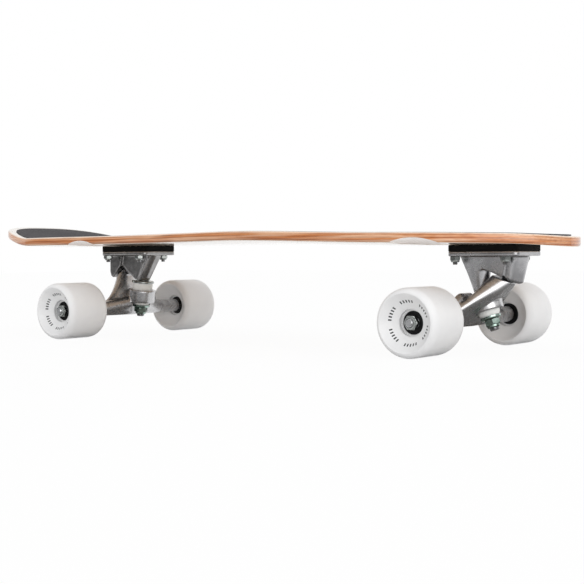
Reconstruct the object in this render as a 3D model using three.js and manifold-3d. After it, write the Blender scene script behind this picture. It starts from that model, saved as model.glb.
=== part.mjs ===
// Surf skateboard: a kicked maple deck on a steep carving truck in front and a conventional truck behind.
// Millimetres, +X towards the nose, +Z up, origin on the ground under the middle of the deck.
import * as THREE from 'three';
import { mergeVertices } from 'three/addons/utils/BufferGeometryUtils.js';
import Module from 'manifold-3d';

const wasm = await Module();
wasm.setup();

// Whole board
const WHEELBASE = 473.5;
const NOSE_OVERHANG = 108.5;
const TAIL_OVERHANG = 167.5;
const FRONT_DECK_HEIGHT = 103.7;
const REAR_DECK_HEIGHT = 107.9;

// Clearances
const GAP = 0.3;
const RUNNING_GAP = 0.12;
const OVERRUN = 2;

// Deck outline and profile
const DECK_HALF_WIDTH = 126;
const TAIL_HALF_WIDTH = 99;
const DECK_THICKNESS = 9.4;
const DECK_EDGE_ROUND = 2.6;
const WIDE_POINT_BEHIND_FRONT_AXLE = 136.5;
const SQUASH_START_AHEAD_OF_REAR_AXLE = 36.5;
const NOSE_POWER_SHARE = 2.2;
const NOSE_ROOT_SHARE = 2;
const TAIL_POWER_SHARE = 4.3;
const TAIL_ROOT_SHARE = 2.85;
const TIP_END_SHARE = 0.9995;
const CONCAVE_RISE = 3.2;
const CONCAVE_FLAT = 32;
const KICK_ANGLE = THREE.MathUtils.degToRad(13.2);
const KICK_LENGTH = 76;
const KICK_BEND = 14;
const NOSE_DROP = 2.7;
const NOSE_BEND = 41;
const SLOPE_START_AHEAD_OF_REAR_AXLE = 236.5;
const SLOPE_END_BEHIND_FRONT_AXLE = 31.5;

// Wheel wells scooped out of the deck's underside
const WELL_RADIUS = 55;
const WELL_REACH = 137;
const WELL_DEPTH = 4.6;
const FRONT_WELL_SHIFT = -2;
const REAR_WELL_SHIFT = 18;

// Griptape
const GRIP_THICKNESS = 0.6;
const GRIP_GAP = 0.1;
const GRIP_MARGIN = 9;

// Deck bolts, four to a truck
const BOLT_PITCH_LONG = 53.8;
const BOLT_PITCH_WIDE = 41.3;
const BOLT_RADIUS = 2.4;
const BOLT_HOLE_RADIUS = 2.75;
const BOLT_HEAD_RADIUS = 4.7;
const BOLT_HEAD_HEIGHT = 2.8;
const BOLT_DRIVE_RADIUS = 1.7;
const BOLT_DRIVE_DEPTH = 1.8;
const BOLT_TAIL = 2.4;
const BOLT_TO_PLATE_END = 10.6;
const DECK_NUT_FLATS = 9.5;
const DECK_NUT_HEIGHT = 5.6;
const DECK_NUT_COLLAR = 1.6;

// Risers and the flanges of the baseplates
const PLATE_LENGTH = BOLT_PITCH_LONG + BOLT_TO_PLATE_END * 2;
const PLATE_WIDTH = 54.4;
const PLATE_CORNER = 5;
const HOLE_OFFSET_TO_TAIL = 4.7;
const RISER_THICKNESS = 6.4;
const FLANGE_THICKNESS = 4.6;

// Wheels, bearings and axles
const WHEEL_RADIUS = 32.5;
const WHEEL_WIDTH = 57;
const WHEEL_TRACK = 191;
const WHEEL_LIP_RADIUS = 27;
const WHEEL_SHOULDER = 9;
const WHEEL_BOWL_RADIUS = 20.5;
const WHEEL_BOWL_DEPTH = 8.6;
const WHEEL_MOUTH_RADIUS = 12.7;
const WHEEL_MOUTH_DEPTH = 11.6;
const WHEEL_CORE_RADIUS = 8.6;
const BEARING_RADIUS = 11;
const BEARING_WIDTH = 7;
const BEARING_SPACING = 10;
const BEARING_SHIELD_RADIUS = 9.2;
const BEARING_SHIELD_DEPTH = 0.5;
const AXLE_RADIUS = 4;
const AXLE_END_CHAMFER = 0.8;
const AXLE_THREAD_PAST_NUT = 1.6;
const AXLE_NUT_FLATS = 12.7;
const AXLE_NUT_HEIGHT = 6.4;
const AXLE_NUT_COLLAR = 1.8;
const WASHER_THICKNESS = 0.9;
const WASHER_RADIUS = 5.9;

// Hangers
const BEAM_RADIUS = 8.2;
const BEAM_ROOT_RADIUS = 8.8;
const BEAM_TAPER_START = 50;
const BEAM_END_RADIUS = 6.4;
const BEAM_END_LENGTH = 3;
const WING_ROOT_RADIUS = 7.6;
const RING_BORE_RADIUS = 7.6;
const CUP_FLARE_SHARE = 0.17;
const SWING_GAP = 1.8;
const ARM_TO_CASTING = 1.5;
const PIVOT_BALL_RADIUS = 5;
const PIVOT_STEM_RADIUS = 4;
const PIVOT_NECK_RADIUS = 6.2;
const PIVOT_NECK_DROP = 1.2;
const PIVOT_CUP_RADIUS = 6.8;
const PIVOT_CUP_DEPTH = 6;
const PIVOT_CUP_LIP = 3.4;

// Kingpins
const KINGPIN_RADIUS = 4.76;
const KINGPIN_HEAD_FLATS = 14;
const KINGPIN_HEAD_HEIGHT = 5.6;
const KINGPIN_END = 3;
const KINGPIN_NUT_FLATS = 14.3;
const KINGPIN_NUT_HEIGHT = 8;
const KINGPIN_NUT_COLLAR = 2.2;
const KINGPIN_HEAD_SPACE = 8.6;
const CUP_WASHER_THICKNESS = 1.2;
const CUP_WASHER_LIP = 1.6;

// Kingpin seats below the top of each flange
const FRONT_SEAT_DROP = 37.8;
const REAR_SEAT_DROP = 35;

// The two trucks. Places are measured from the axle's centre: x towards the end of the board, z up.
const FRONT = {
  name: 'front',
  toNose: true,
  plateMiddle: 26.2,
  seat: { x: 12.6, z: FRONT_DECK_HEIGHT - RISER_THICKNESS - WHEEL_RADIUS - FRONT_SEAT_DROP },
  seatRadius: 7.4,
  kingpinLean: THREE.MathUtils.degToRad(20.2),
  steerAngle: THREE.MathUtils.degToRad(45),
  pivotDistance: 42.2,
  flatWasherRadius: 8.1,
  boardBushing: { radius: 10.6, endRadius: 10.6, height: 8 },
  roadBushing: { radius: 11.2, endRadius: 8.8, height: 9.2 },
  ring: { radius: 15.6, thickness: 9, cupRadius: 12.4, cupHeight: 6, lowerCup: 3.2 },
  nutSpace: { radius: 9.9, reach: 9.9 },
  arm: { reach: 33, rise: 3.2, radius: 9.6, tipHalf: 5, baseHalf: 62, edgeRadius: 4.2, curveShare: 1.45 },
  saddle: { x: 6.2, z: 20.5, radius: 4.4, flatHalf: 32, baseHalf: 62, curveShare: 1 },
};
const REAR = {
  name: 'rear',
  toNose: false,
  plateMiddle: -14.2,
  seat: { x: -22, z: REAR_DECK_HEIGHT - RISER_THICKNESS - WHEEL_RADIUS - REAR_SEAT_DROP },
  seatRadius: 7.6,
  kingpinLean: THREE.MathUtils.degToRad(7),
  steerAngle: THREE.MathUtils.degToRad(40),
  pivotDistance: 47.5,
  boardBushing: { radius: 11.8, endRadius: 11.8, height: 10.8 },
  roadBushing: { radius: 11.2, endRadius: 8.8, height: 8.6 },
  ring: { radius: 17, thickness: 9.6, cupRadius: 12.6, cupHeight: 1.6, lowerCup: 4.4 },
  nutSpace: { radius: 11, reach: 15 },
  arm: { reach: 40, rise: 0, radius: 7.2, tipHalf: 4, baseHalf: 62, edgeRadius: 4.2, curveShare: 2.1 },
  saddle: { x: -13, z: 8, radius: 7.5, flatHalf: 12, baseHalf: 52, curveShare: 1 },
};

// Casting under the front flange
const FRONT_TOWER_TOP_LENGTH = 16.5;
const FRONT_TOWER_TOP_WIDTH = 10.2;
const FRONT_TOWER_TOP_SETBACK = 5.4;
const FRONT_NOTCH_RISE = 21;
const FRONT_WEB_HALF = 5.8;
const FRONT_BOSS_RADIUS = 10.4;
const FRONT_BOSS_ADVANCE = 0.6;
const FRONT_BOSS_TOP_RADIUS = 12;
const FRONT_BOSS_TOP_ADVANCE = 5.2;
const FRONT_UNDERSIDE = THREE.MathUtils.degToRad(22.5);

// Casting under the rear flange
const REAR_TOWER_TOP_RADIUS = 9.6;
const REAR_TOWER_TOP_SETBACK = 20;
const REAR_WEB_HALF = 6.4;
const REAR_HEAD_BOSS_WALL = 1.2;
const REAR_BOSS_HALF = 9.8;
const REAR_BOSS_WALL = 3;
const REAR_BOSS_LOWER_WALL = 9.4;
const REAR_BOSS_SHOULDER_DROP = 2;

// Places that follow from the sizes above
const DECK_LENGTH = WHEELBASE + NOSE_OVERHANG + TAIL_OVERHANG;
const NOSE_X = DECK_LENGTH / 2;
const TAIL_X = -DECK_LENGTH / 2;
const FRONT_AXLE_X = NOSE_X - NOSE_OVERHANG;
const REAR_AXLE_X = TAIL_X + TAIL_OVERHANG;
const WIDE_X = FRONT_AXLE_X - WIDE_POINT_BEHIND_FRONT_AXLE;
const SQUASH_X = REAR_AXLE_X + SQUASH_START_AHEAD_OF_REAR_AXLE;
const BEARING_FACE = BEARING_SPACING / 2 + BEARING_WIDTH;
const HANGER_HALF = WHEEL_TRACK / 2 - BEARING_FACE - WASHER_THICKNESS - RUNNING_GAP * 2;
const AXLE_NUT_FACE = WHEEL_TRACK / 2 + BEARING_FACE + WASHER_THICKNESS + RUNNING_GAP * 2;
const AXLE_HALF = AXLE_NUT_FACE + AXLE_NUT_HEIGHT + AXLE_THREAD_PAST_NUT;

const SEGMENTS = { wheel: 20, round: 12, small: 8, loft: 12 };

// Materials
const material = (color, roughness, metalness) => new THREE.MeshStandardMaterial({ color, roughness, metalness });
const maple = material(0xc78f6e, 0.45, 0);
const grit = material(0x504c4e, 0.95, 0);
const riserRubber = material(0x141414, 0.7, 0);
const castGrey = material(0x8d8f92, 0.35, 1);
const polished = material(0xc8cacd, 0.18, 1);
const zinc = material(0xb9bfba, 0.3, 1);
const urethane = material(0xf2f2f0, 0.4, 0);
const bushingUrethane = material(0xdedfdb, 0.35, 0);
const blackShield = material(0x17181a, 0.5, 0.2);
const blackPlastic = material(0x1c1c1d, 0.6, 0);

// Solids and booleans
function toSolid(geometry) {
  const merged = mergeVertices(bare(geometry.clone()));
  const mesh = new wasm.Mesh({
    numProp: 3,
    vertProperties: new Float32Array(merged.attributes.position.array),
    triVerts: new Uint32Array(merged.index.array),
  });
  return new wasm.Manifold(mesh);
}

function toGeometry(solid) {
  const mesh = solid.getMesh();
  const geometry = new THREE.BufferGeometry();
  const positions = new Float32Array(mesh.numVert * 3);
  for (let vertex = 0; vertex < mesh.numVert; vertex += 1) {
    for (let axis = 0; axis < 3; axis += 1) {
      positions[vertex * 3 + axis] = mesh.vertProperties[vertex * mesh.numProp + axis];
    }
  }
  geometry.setAttribute('position', new THREE.BufferAttribute(positions, 3));
  geometry.setIndex(new THREE.BufferAttribute(new Uint32Array(mesh.triVerts), 1));
  return geometry;
}

const joined = (geometries) => toGeometry(geometries.map(toSolid).reduce((whole, next) => whole.add(next)));
const cut = (body, tools) => toGeometry(tools.map(toSolid).reduce((rest, tool) => rest.subtract(tool), toSolid(body)));

// A skin over a row of closed loops with equal point counts, closed by a fan at each end
function loft(loops) {
  const count = loops[0].length;
  const positions = loops.flat().flatMap((point) => [point.x, point.y, point.z]);
  const index = [];
  for (let row = 0; row < loops.length - 1; row += 1) {
    for (let column = 0; column < count; column += 1) {
      const a = row * count + column;
      const b = row * count + ((column + 1) % count);
      index.push(a, b, b + count, a, b + count, a + count);
    }
  }
  const last = (loops.length - 1) * count;
  const caps = [{ loop: loops[0], start: 0 }, { loop: loops[loops.length - 1], start: last }];
  caps.forEach(({ loop, start }, end) => {
    const middle = loop.reduce((sum, point) => sum.add(point), new THREE.Vector3()).divideScalar(count);
    const centre = positions.length / 3;
    positions.push(middle.x, middle.y, middle.z);
    for (let column = 0; column < count; column += 1) {
      const edge = [start + column, start + ((column + 1) % count)];
      index.push(centre, edge[1 - end], edge[end]);
    }
  });
  const geometry = new THREE.BufferGeometry();
  geometry.setAttribute('position', new THREE.BufferAttribute(new Float32Array(positions), 3));
  geometry.setIndex(index);
  return facesOut(geometry);
}

function facesOut(geometry) {
  const position = geometry.attributes.position;
  const index = geometry.index.array;
  const corner = (n) => new THREE.Vector3().fromBufferAttribute(position, index[n]);
  let volume = 0;
  for (let n = 0; n < index.length; n += 3) {
    volume += corner(n).dot(corner(n + 1).cross(corner(n + 2)));
  }
  if (volume < 0) {
    for (let n = 0; n < index.length; n += 3) {
      [index[n + 1], index[n + 2]] = [index[n + 2], index[n + 1]];
    }
  }
  return geometry;
}

const smooth = (share) => {
  const held = THREE.MathUtils.clamp(share, 0, 1);
  return held * held * (3 - 2 * held);
};
const mix = THREE.MathUtils.lerp;

// Revolved about +Z: points are [radius, height], closed on the axis or on themselves
function revolved(points, segments) {
  const outline = points.map(([radius, height]) => new THREE.Vector2(radius, height));
  return facesOut(mergeVertices(bare(new THREE.LatheGeometry(outline, segments)))).rotateX(Math.PI / 2);
}

function bare(geometry) {
  geometry.deleteAttribute('normal');
  geometry.deleteAttribute('uv');
  return geometry;
}

function upright(radiusTop, radiusBottom, bottom, top, segments) {
  const height = top - bottom;
  const cylinder = new THREE.CylinderGeometry(radiusTop, radiusBottom, height, segments);
  return cylinder.rotateX(Math.PI / 2).translate(0, 0, bottom + height / 2);
}

// A plate outline drawn in x and z, standing at right angles to Y
function sidePlate(points, half) {
  const shape = new THREE.Shape(points.map(([x, z]) => new THREE.Vector2(x, z)));
  const plate = new THREE.ExtrudeGeometry(shape, { depth: half * 2, bevelEnabled: false });
  return plate.rotateX(Math.PI / 2).translate(0, half, 0);
}

function roundedPlate(length, width, corner, bottom, thickness) {
  const shape = new THREE.Shape();
  const x = length / 2;
  const y = width / 2;
  shape.moveTo(x - corner, -y);
  shape.absarc(x - corner, corner - y, corner, -Math.PI / 2, 0);
  shape.absarc(x - corner, y - corner, corner, 0, Math.PI / 2);
  shape.absarc(corner - x, y - corner, corner, Math.PI / 2, Math.PI);
  shape.absarc(corner - x, corner - y, corner, Math.PI, 1.5 * Math.PI);
  const plate = new THREE.ExtrudeGeometry(shape, { depth: thickness, bevelEnabled: false, curveSegments: 3 });
  return plate.translate(0, 0, bottom);
}

// Deck
function halfWidth(x, inset = 0) {
  const wide = DECK_HALF_WIDTH - inset;
  const tail = TAIL_HALF_WIDTH - inset;
  if (x > WIDE_X) {
    const share = ((x - WIDE_X) / (NOSE_X - inset - WIDE_X)) * TIP_END_SHARE;
    return wide * (1 - share ** NOSE_POWER_SHARE) ** (1 / NOSE_ROOT_SHARE);
  }
  if (x > SQUASH_X) {
    return mix(tail, wide, smooth((x - SQUASH_X) / (WIDE_X - SQUASH_X)));
  }
  const share = ((SQUASH_X - x) / (SQUASH_X - TAIL_X - inset)) * TIP_END_SHARE;
  return tail * (1 - share ** TAIL_POWER_SHARE) ** (1 / TAIL_ROOT_SHARE);
}

// Height of the underside on the centre line
function underside(x) {
  const slopeStart = REAR_AXLE_X + SLOPE_START_AHEAD_OF_REAR_AXLE;
  const slopeEnd = FRONT_AXLE_X - SLOPE_END_BEHIND_FRONT_AXLE;
  const level = mix(REAR_DECK_HEIGHT, FRONT_DECK_HEIGHT, smooth((x - slopeStart) / (slopeEnd - slopeStart)));
  const nose = Math.max(0, (x - NOSE_X + NOSE_BEND) / NOSE_BEND);
  const past = TAIL_X + KICK_LENGTH - x;
  const bend = THREE.MathUtils.clamp(past + KICK_BEND, 0, 2 * KICK_BEND);
  const kick = bend ** 2 / (4 * KICK_BEND) + Math.max(0, past - KICK_BEND);
  return level - NOSE_DROP * nose ** 2 + Math.tan(KICK_ANGLE) * kick;
}

function concave(y) {
  const share = Math.max(0, Math.abs(y) - CONCAVE_FLAT) / (DECK_HALF_WIDTH - CONCAVE_FLAT);
  return CONCAVE_RISE * share ** 2;
}

function deckStations() {
  const tailCount = 9;
  const waistCount = 5;
  const shoulderCount = 5;
  const noseCount = 6;
  const bend = NOSE_X - NOSE_BEND;
  const quarter = Math.PI / 2;
  const run = (count, place) => Array.from({ length: count }, (_, n) => place(n / count));
  return [
    ...run(tailCount, (share) => mix(TAIL_X, SQUASH_X, 1 - Math.cos(share * quarter))),
    ...run(waistCount, (share) => mix(SQUASH_X, WIDE_X, share)),
    ...run(shoulderCount, (share) => mix(WIDE_X, bend, share)),
    ...run(noseCount, (share) => mix(bend, NOSE_X, Math.sin(share * quarter))),
    NOSE_X,
  ];
}

// Places across the deck at one station, from the middle to where the edge starts to round
function deckAcross(x) {
  const half = halfWidth(x);
  const round = Math.min(DECK_EDGE_ROUND, half / 2);
  const inner = half - round;
  const flat = Math.min(CONCAVE_FLAT, inner / 2);
  return { half, round, inner, across: [0, flat, (flat + inner) / 2, inner] };
}

const onBothSides = (right) => [...right, ...right.slice(1, -1).reverse().map(({ x, y, z }) => new THREE.Vector3(x, -y, z))];

function deckLoop(x) {
  const { half, round, inner, across } = deckAcross(x);
  const base = underside(x);
  const low = base + concave(inner);
  const high = low + DECK_THICKNESS;
  const side = inner + round * Math.SQRT1_2;
  const drop = round * (1 - Math.SQRT1_2);
  return onBothSides([
    ...across.map((y) => new THREE.Vector3(x, y, base + concave(y))),
    new THREE.Vector3(x, side, low + drop),
    new THREE.Vector3(x, half, low + round),
    new THREE.Vector3(x, half, high - round),
    new THREE.Vector3(x, side, high - drop),
    ...across.reverse().map((y) => new THREE.Vector3(x, y, base + concave(y) + DECK_THICKNESS)),
  ]);
}

// Outline of the deck seen from above, drawn in by a margin
function outlinePrism(margin) {
  const tail = TAIL_X + margin;
  const nose = NOSE_X - margin;
  const sideCount = 16;
  const right = [];
  for (let n = 0; n <= sideCount; n += 1) {
    const x = mix(tail, nose, (1 - Math.cos((n / sideCount) * Math.PI)) / 2);
    right.push(new THREE.Vector2(x, halfWidth(x, margin)));
  }
  const left = right.slice().reverse().map((point) => new THREE.Vector2(point.x, -point.y));
  const prism = new THREE.ExtrudeGeometry(new THREE.Shape([...right, ...left]), { depth: DECK_LENGTH, bevelEnabled: false });
  return prism;
}

const boltPlaces = (truck) => [-1, 1].flatMap((along) => [-1, 1].map((across) => ({
  x: plateMiddle(truck) - HOLE_OFFSET_TO_TAIL + (along * BOLT_PITCH_LONG) / 2,
  y: (across * BOLT_PITCH_WIDE) / 2,
})));

// Middle of a truck's flange along the board
function plateMiddle(truck) {
  return truck.toNose ? FRONT_AXLE_X + truck.plateMiddle : REAR_AXLE_X - truck.plateMiddle;
}

const deckHeight = (truck) => (truck.toNose ? FRONT_DECK_HEIGHT : REAR_DECK_HEIGHT);
const gripTop = (truck) => deckHeight(truck) + DECK_THICKNESS + GRIP_GAP + GRIP_THICKNESS;

function headSpace(truck) {
  const top = gripTop(truck);
  const wide = BOLT_HEAD_RADIUS + GAP;
  const throat = BOLT_HOLE_RADIUS;
  const cone = upright(wide, throat, top - BOLT_HEAD_HEIGHT - GAP, top, SEGMENTS.small);
  const sight = upright(wide, wide, top, top + OVERRUN, SEGMENTS.small);
  const hole = upright(throat, throat, deckHeight(truck) - OVERRUN, top, SEGMENTS.small);
  return joined([cone, sight, hole]);
}

function deckHoles() {
  return [FRONT, REAR].flatMap((truck) => {
    const hole = headSpace(truck);
    return boltPlaces(truck).map(({ x, y }) => hole.clone().translate(x, y, 0));
  });
}

function wheelWells() {
  const wells = [
    { x: FRONT_AXLE_X + FRONT_WELL_SHIFT, truck: FRONT },
    { x: REAR_AXLE_X + REAR_WELL_SHIFT, truck: REAR },
  ];
  return wells.flatMap(({ x, truck }) => [-1, 1].map((side) => {
    const y = side * halfWidth(x);
    const z = deckHeight(truck) + concave(y) + WELL_DEPTH - WELL_RADIUS;
    const scoop = new THREE.SphereGeometry(1, SEGMENTS.wheel, SEGMENTS.wheel / 2);
    return scoop.scale(WELL_RADIUS, WELL_REACH, WELL_RADIUS).translate(x, y, z);
  }));
}

const deckSlab = () => loft(deckStations().map(deckLoop));

function makeDeck() {
  return cut(deckSlab(), [...wheelWells(), ...deckHoles()]);
}

// A skin that follows the deck's top face: the deck lifted once, less the deck lifted by the gap under the tape
function makeGriptape() {
  const above = toSolid(deckSlab().translate(0, 0, GRIP_GAP + GRIP_THICKNESS));
  const trimmed = toGeometry(above.intersect(toSolid(outlinePrism(GRIP_MARGIN))));
  return cut(trimmed, [deckSlab().translate(0, 0, GRIP_GAP), ...deckHoles()]);
}

// Deck bolts and their lock nuts, built with the underside of the flange at height 0
function boltStack(truck) {
  const flange = deckHeight(truck) - RISER_THICKNESS - FLANGE_THICKNESS;
  return { flange, top: gripTop(truck) - flange };
}

function makeDeckBolt(truck) {
  const { top } = boltStack(truck);
  const end = -DECK_NUT_HEIGHT - BOLT_TAIL;
  const drive = top - BOLT_DRIVE_DEPTH;
  return revolved([
    [0, end],
    [BOLT_RADIUS, end],
    [BOLT_RADIUS, top - BOLT_HEAD_HEIGHT],
    [BOLT_HEAD_RADIUS, top],
    [BOLT_DRIVE_RADIUS, top],
    [BOLT_DRIVE_RADIUS, drive],
    [0, drive - BOLT_DRIVE_RADIUS / 3],
  ], SEGMENTS.small);
}

// A lock nut with its seat at height 0, its bore along Z and its collar away from the seat
function lockNut(flats, height, collar, boreRadius, boreSegments) {
  const corner = flats / 2 / Math.cos(Math.PI / 6);
  const hex = upright(corner, corner, -height + collar, 0, 6);
  const crown = upright(flats * 0.46, flats * 0.4, -height, OVERRUN - height + collar, SEGMENTS.small);
  const bore = upright(boreRadius, boreRadius, -height - OVERRUN, OVERRUN, boreSegments);
  return cut(joined([hex, crown]), [bore]);
}

// Riser pad, drilled for the bolts and open over the kingpin's head
function makeRiser(truck) {
  const bottom = deckHeight(truck) - RISER_THICKNESS;
  const pad = roundedPlate(PLATE_LENGTH, PLATE_WIDTH, PLATE_CORNER, bottom, RISER_THICKNESS);
  pad.translate(plateMiddle(truck), 0, 0);
  const hole = upright(BOLT_HOLE_RADIUS, BOLT_HOLE_RADIUS, bottom - OVERRUN, bottom + RISER_THICKNESS + OVERRUN, SEGMENTS.small);
  return cut(pad, boltPlaces(truck).map(({ x, y }) => hole.clone().translate(x, y, 0)));
}

// Truck frames. The truck's own frame has its origin at the axle's centre and x towards the end of the board.
const ringCentre = (truck) => {
  const down = stackDepth(truck).ring + truck.ring.thickness / 2;
  return kingpinPoint(truck, down);
};
const pivotPoint = (truck) => {
  const ring = ringCentre(truck);
  return {
    x: ring.x + Math.cos(truck.steerAngle) * truck.pivotDistance,
    z: ring.z + Math.sin(truck.steerAngle) * truck.pivotDistance,
  };
};

// Point on the kingpin's axis, at a depth below the seat of the tower
function kingpinPoint(truck, depth) {
  return {
    x: truck.seat.x + Math.sin(truck.kingpinLean) * depth,
    z: truck.seat.z - Math.cos(truck.kingpinLean) * depth,
  };
}

// Depths below the seat at which the pieces on the kingpin start
function stackDepth(truck) {
  const washer = GAP;
  const boardBushing = washer + CUP_WASHER_THICKNESS + GAP;
  const ring = boardBushing + truck.boardBushing.height + GAP;
  const roadBushing = ring + truck.ring.thickness + GAP;
  const roadWasher = roadBushing + truck.roadBushing.height + GAP;
  const nut = roadWasher + CUP_WASHER_THICKNESS + GAP;
  return { washer, boardBushing, ring, roadBushing, roadWasher, nut };
}

// Moves a solid built downwards along -Z onto the kingpin's axis, and one built along +Z onto the steering axis
function ontoKingpin(truck, geometry) {
  return geometry.rotateY(-truck.kingpinLean).translate(truck.seat.x, 0, truck.seat.z);
}

function ontoSteeringAxis(truck, geometry) {
  const pivot = pivotPoint(truck);
  return geometry.rotateY(Math.PI / 2 - truck.steerAngle).translate(pivot.x, 0, pivot.z);
}

// Capsule outline in x and z at one place across the hanger, from the axle to a tip
function capsule(y, rootRadius, tip, tipRadius, slant) {
  const half = SEGMENTS.loft / 2;
  const points = [];
  for (let n = 0; n < half; n += 1) {
    const angle = slant - Math.PI / 2 + (Math.PI * (n + 0.5)) / half;
    points.push(new THREE.Vector3(tip.x + tipRadius * Math.cos(angle), y, tip.z + tipRadius * Math.sin(angle)));
  }
  for (let n = 0; n < half; n += 1) {
    const angle = slant + Math.PI / 2 + (Math.PI * (n + 0.5)) / half;
    points.push(new THREE.Vector3(rootRadius * Math.cos(angle), y, rootRadius * Math.sin(angle)));
  }
  return points;
}

// A wing lofted across the truck: full height in the middle, and a flare that fades into the root towards the wheels
function wing(tip, curveShare, rootRadius, middleRadius, edgeRadius, flatHalf, baseHalf) {
  const slant = Math.atan2(tip.z, tip.x);
  const stepShares = [0, 0.2, 0.45, 0.72, 1];
  const half = [0, ...stepShares.map((share) => mix(flatHalf, baseHalf, share))];
  const across = [...half.slice(1).reverse().map((y) => -y), ...half];
  const loops = across.map((y) => {
    const fade = THREE.MathUtils.clamp((baseHalf - Math.abs(y)) / (baseHalf - flatHalf), 0, 1);
    const atMiddle = smooth((fade - 0.5) * 2);
    const radius = mix(mix(rootRadius, edgeRadius, smooth(fade * 3)), middleRadius, atMiddle);
    const reach = fade ** curveShare;
    return capsule(y, rootRadius, { x: tip.x * reach, z: tip.z * reach }, radius, slant);
  });
  return loft(loops);
}

// The beam round the axle, thicker towards the middle
function beam() {
  const taperStart = BEAM_TAPER_START;
  return new THREE.LatheGeometry([
    [0, -HANGER_HALF],
    [BEAM_END_RADIUS, -HANGER_HALF],
    [BEAM_RADIUS, -HANGER_HALF + BEAM_END_LENGTH],
    [BEAM_RADIUS, -taperStart],
    [BEAM_ROOT_RADIUS, 0],
    [BEAM_RADIUS, taperStart],
    [BEAM_RADIUS, HANGER_HALF - BEAM_END_LENGTH],
    [BEAM_END_RADIUS, HANGER_HALF],
    [0, HANGER_HALF],
  ].map(([radius, y]) => new THREE.Vector2(radius, y)), SEGMENTS.round);
}

function makeHanger(truck) {
  const depth = stackDepth(truck);
  const ring = truck.ring;
  const centre = ringCentre(truck);
  const pivot = pivotPoint(truck);
  const along = { x: Math.cos(truck.steerAngle), z: Math.sin(truck.steerAngle) };
  const neck = truck.pivotDistance - truck.arm.reach;
  const { arm: sweep, saddle: fin } = truck;
  const tip = {
    x: pivot.x - along.x * neck - along.z * sweep.rise,
    z: pivot.z - along.z * neck + along.x * sweep.rise,
  };
  const arm = wing(tip, sweep.curveShare, WING_ROOT_RADIUS, sweep.radius, sweep.edgeRadius, sweep.tipHalf, sweep.baseHalf);
  const saddle = wing(fin, fin.curveShare, WING_ROOT_RADIUS - GAP, fin.radius, fin.radius, fin.flatHalf, fin.baseHalf);
  const barrel = ontoKingpin(truck, upright(
    ring.radius,
    ring.radius,
    -depth.roadBushing + GAP - ring.lowerCup,
    -depth.ring + ring.cupHeight,
    SEGMENTS.round,
  ));
  const stem = ontoSteeringAxis(truck, revolved([
    [0, -neck - truck.arm.radius],
    [PIVOT_NECK_RADIUS, -neck - truck.arm.radius],
    [PIVOT_NECK_RADIUS, -neck - PIVOT_NECK_DROP],
    [PIVOT_STEM_RADIUS, -PIVOT_BALL_RADIUS],
    [PIVOT_BALL_RADIUS * 0.94, -PIVOT_BALL_RADIUS * 0.34],
    [PIVOT_BALL_RADIUS, 0],
    [PIVOT_BALL_RADIUS * 0.87, PIVOT_BALL_RADIUS * 0.5],
    [PIVOT_BALL_RADIUS * 0.5, PIVOT_BALL_RADIUS * 0.87],
    [0, PIVOT_BALL_RADIUS],
  ], SEGMENTS.round));
  const body = cut(joined([beam(), arm, saddle, barrel]), [underBoss(truck)]);
  const boreRadius = AXLE_RADIUS + RUNNING_GAP;
  const axleBore = new THREE.CylinderGeometry(boreRadius, boreRadius, (HANGER_HALF + OVERRUN) * 2, SEGMENTS.round);
  const end = -depth.nut - KINGPIN_NUT_HEIGHT - KINGPIN_END - OVERRUN;
  const bore = upright(RING_BORE_RADIUS, RING_BORE_RADIUS, end, 0, SEGMENTS.round);
  const swing = truck.nutSpace;
  const nutSpaceTop = -depth.roadBushing - ring.lowerCup;
  const nutSpace = upright(swing.radius, swing.radius, end, nutSpaceTop, SEGMENTS.round).scale(1, swing.reach / swing.radius, 1);
  const boardFloor = -depth.ring;
  const boardWide = ring.cupRadius + (truck.seat.z - boardFloor) * CUP_FLARE_SHARE;
  const boardCup = upright(boardWide, ring.cupRadius, boardFloor, truck.seat.z, SEGMENTS.round);
  const roadFloor = -depth.roadBushing + GAP;
  const roadWide = truck.roadBushing.endRadius + CUP_WASHER_THICKNESS + SWING_GAP;
  const roadEnd = -depth.nut;
  const roadCup = upright(ring.cupRadius, roadWide, roadEnd, roadFloor, SEGMENTS.round);
  const tools = [bore, nutSpace, boardCup, roadCup].map((tool) => ontoKingpin(truck, tool));
  return cut(joined([body, stem]), [...tools, axleBore]);
}

// Everything above the plane that keeps the arm clear of the casting over it
function underBoss(truck) {
  const block = new THREE.BoxGeometry(PLATE_LENGTH * 2, PLATE_WIDTH * 2, PLATE_LENGTH);
  if (truck.toNose) {
    const notch = frontNotch();
    return block.translate(0, 0, PLATE_LENGTH / 2 - ARM_TO_CASTING).rotateY(FRONT_UNDERSIDE).translate(notch.x, 0, notch.z);
  }
  const pivot = pivotPoint(truck);
  return block.translate(0, 0, PLATE_LENGTH / 2 - PIVOT_CUP_LIP - 3).rotateY(Math.PI / 2 - truck.steerAngle).translate(pivot.x, 0, pivot.z);
}

// Baseplates
const flangeTop = (truck) => deckHeight(truck) - RISER_THICKNESS - WHEEL_RADIUS;
const flangeBottom = (truck) => flangeTop(truck) - FLANGE_THICKNESS;

function frontNotch() {
  return { x: FRONT.seat.x + FRONT.seatRadius * 0.82, z: FRONT.seat.z + FRONT_NOTCH_RISE };
}

function ellipseLoop(x, z, length, width, tilt = 0) {
  const points = [];
  for (let n = 0; n < SEGMENTS.loft; n += 1) {
    const angle = (n / SEGMENTS.loft) * 2 * Math.PI;
    const ahead = length * Math.cos(angle);
    points.push(new THREE.Vector3(x + ahead, width * Math.sin(angle), z - ahead * Math.tan(tilt)));
  }
  return points;
}

function flange(truck) {
  const plate = roundedPlate(PLATE_LENGTH, PLATE_WIDTH, PLATE_CORNER, flangeBottom(truck), FLANGE_THICKNESS);
  return plate.translate(truck.plateMiddle, 0, 0);
}

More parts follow.
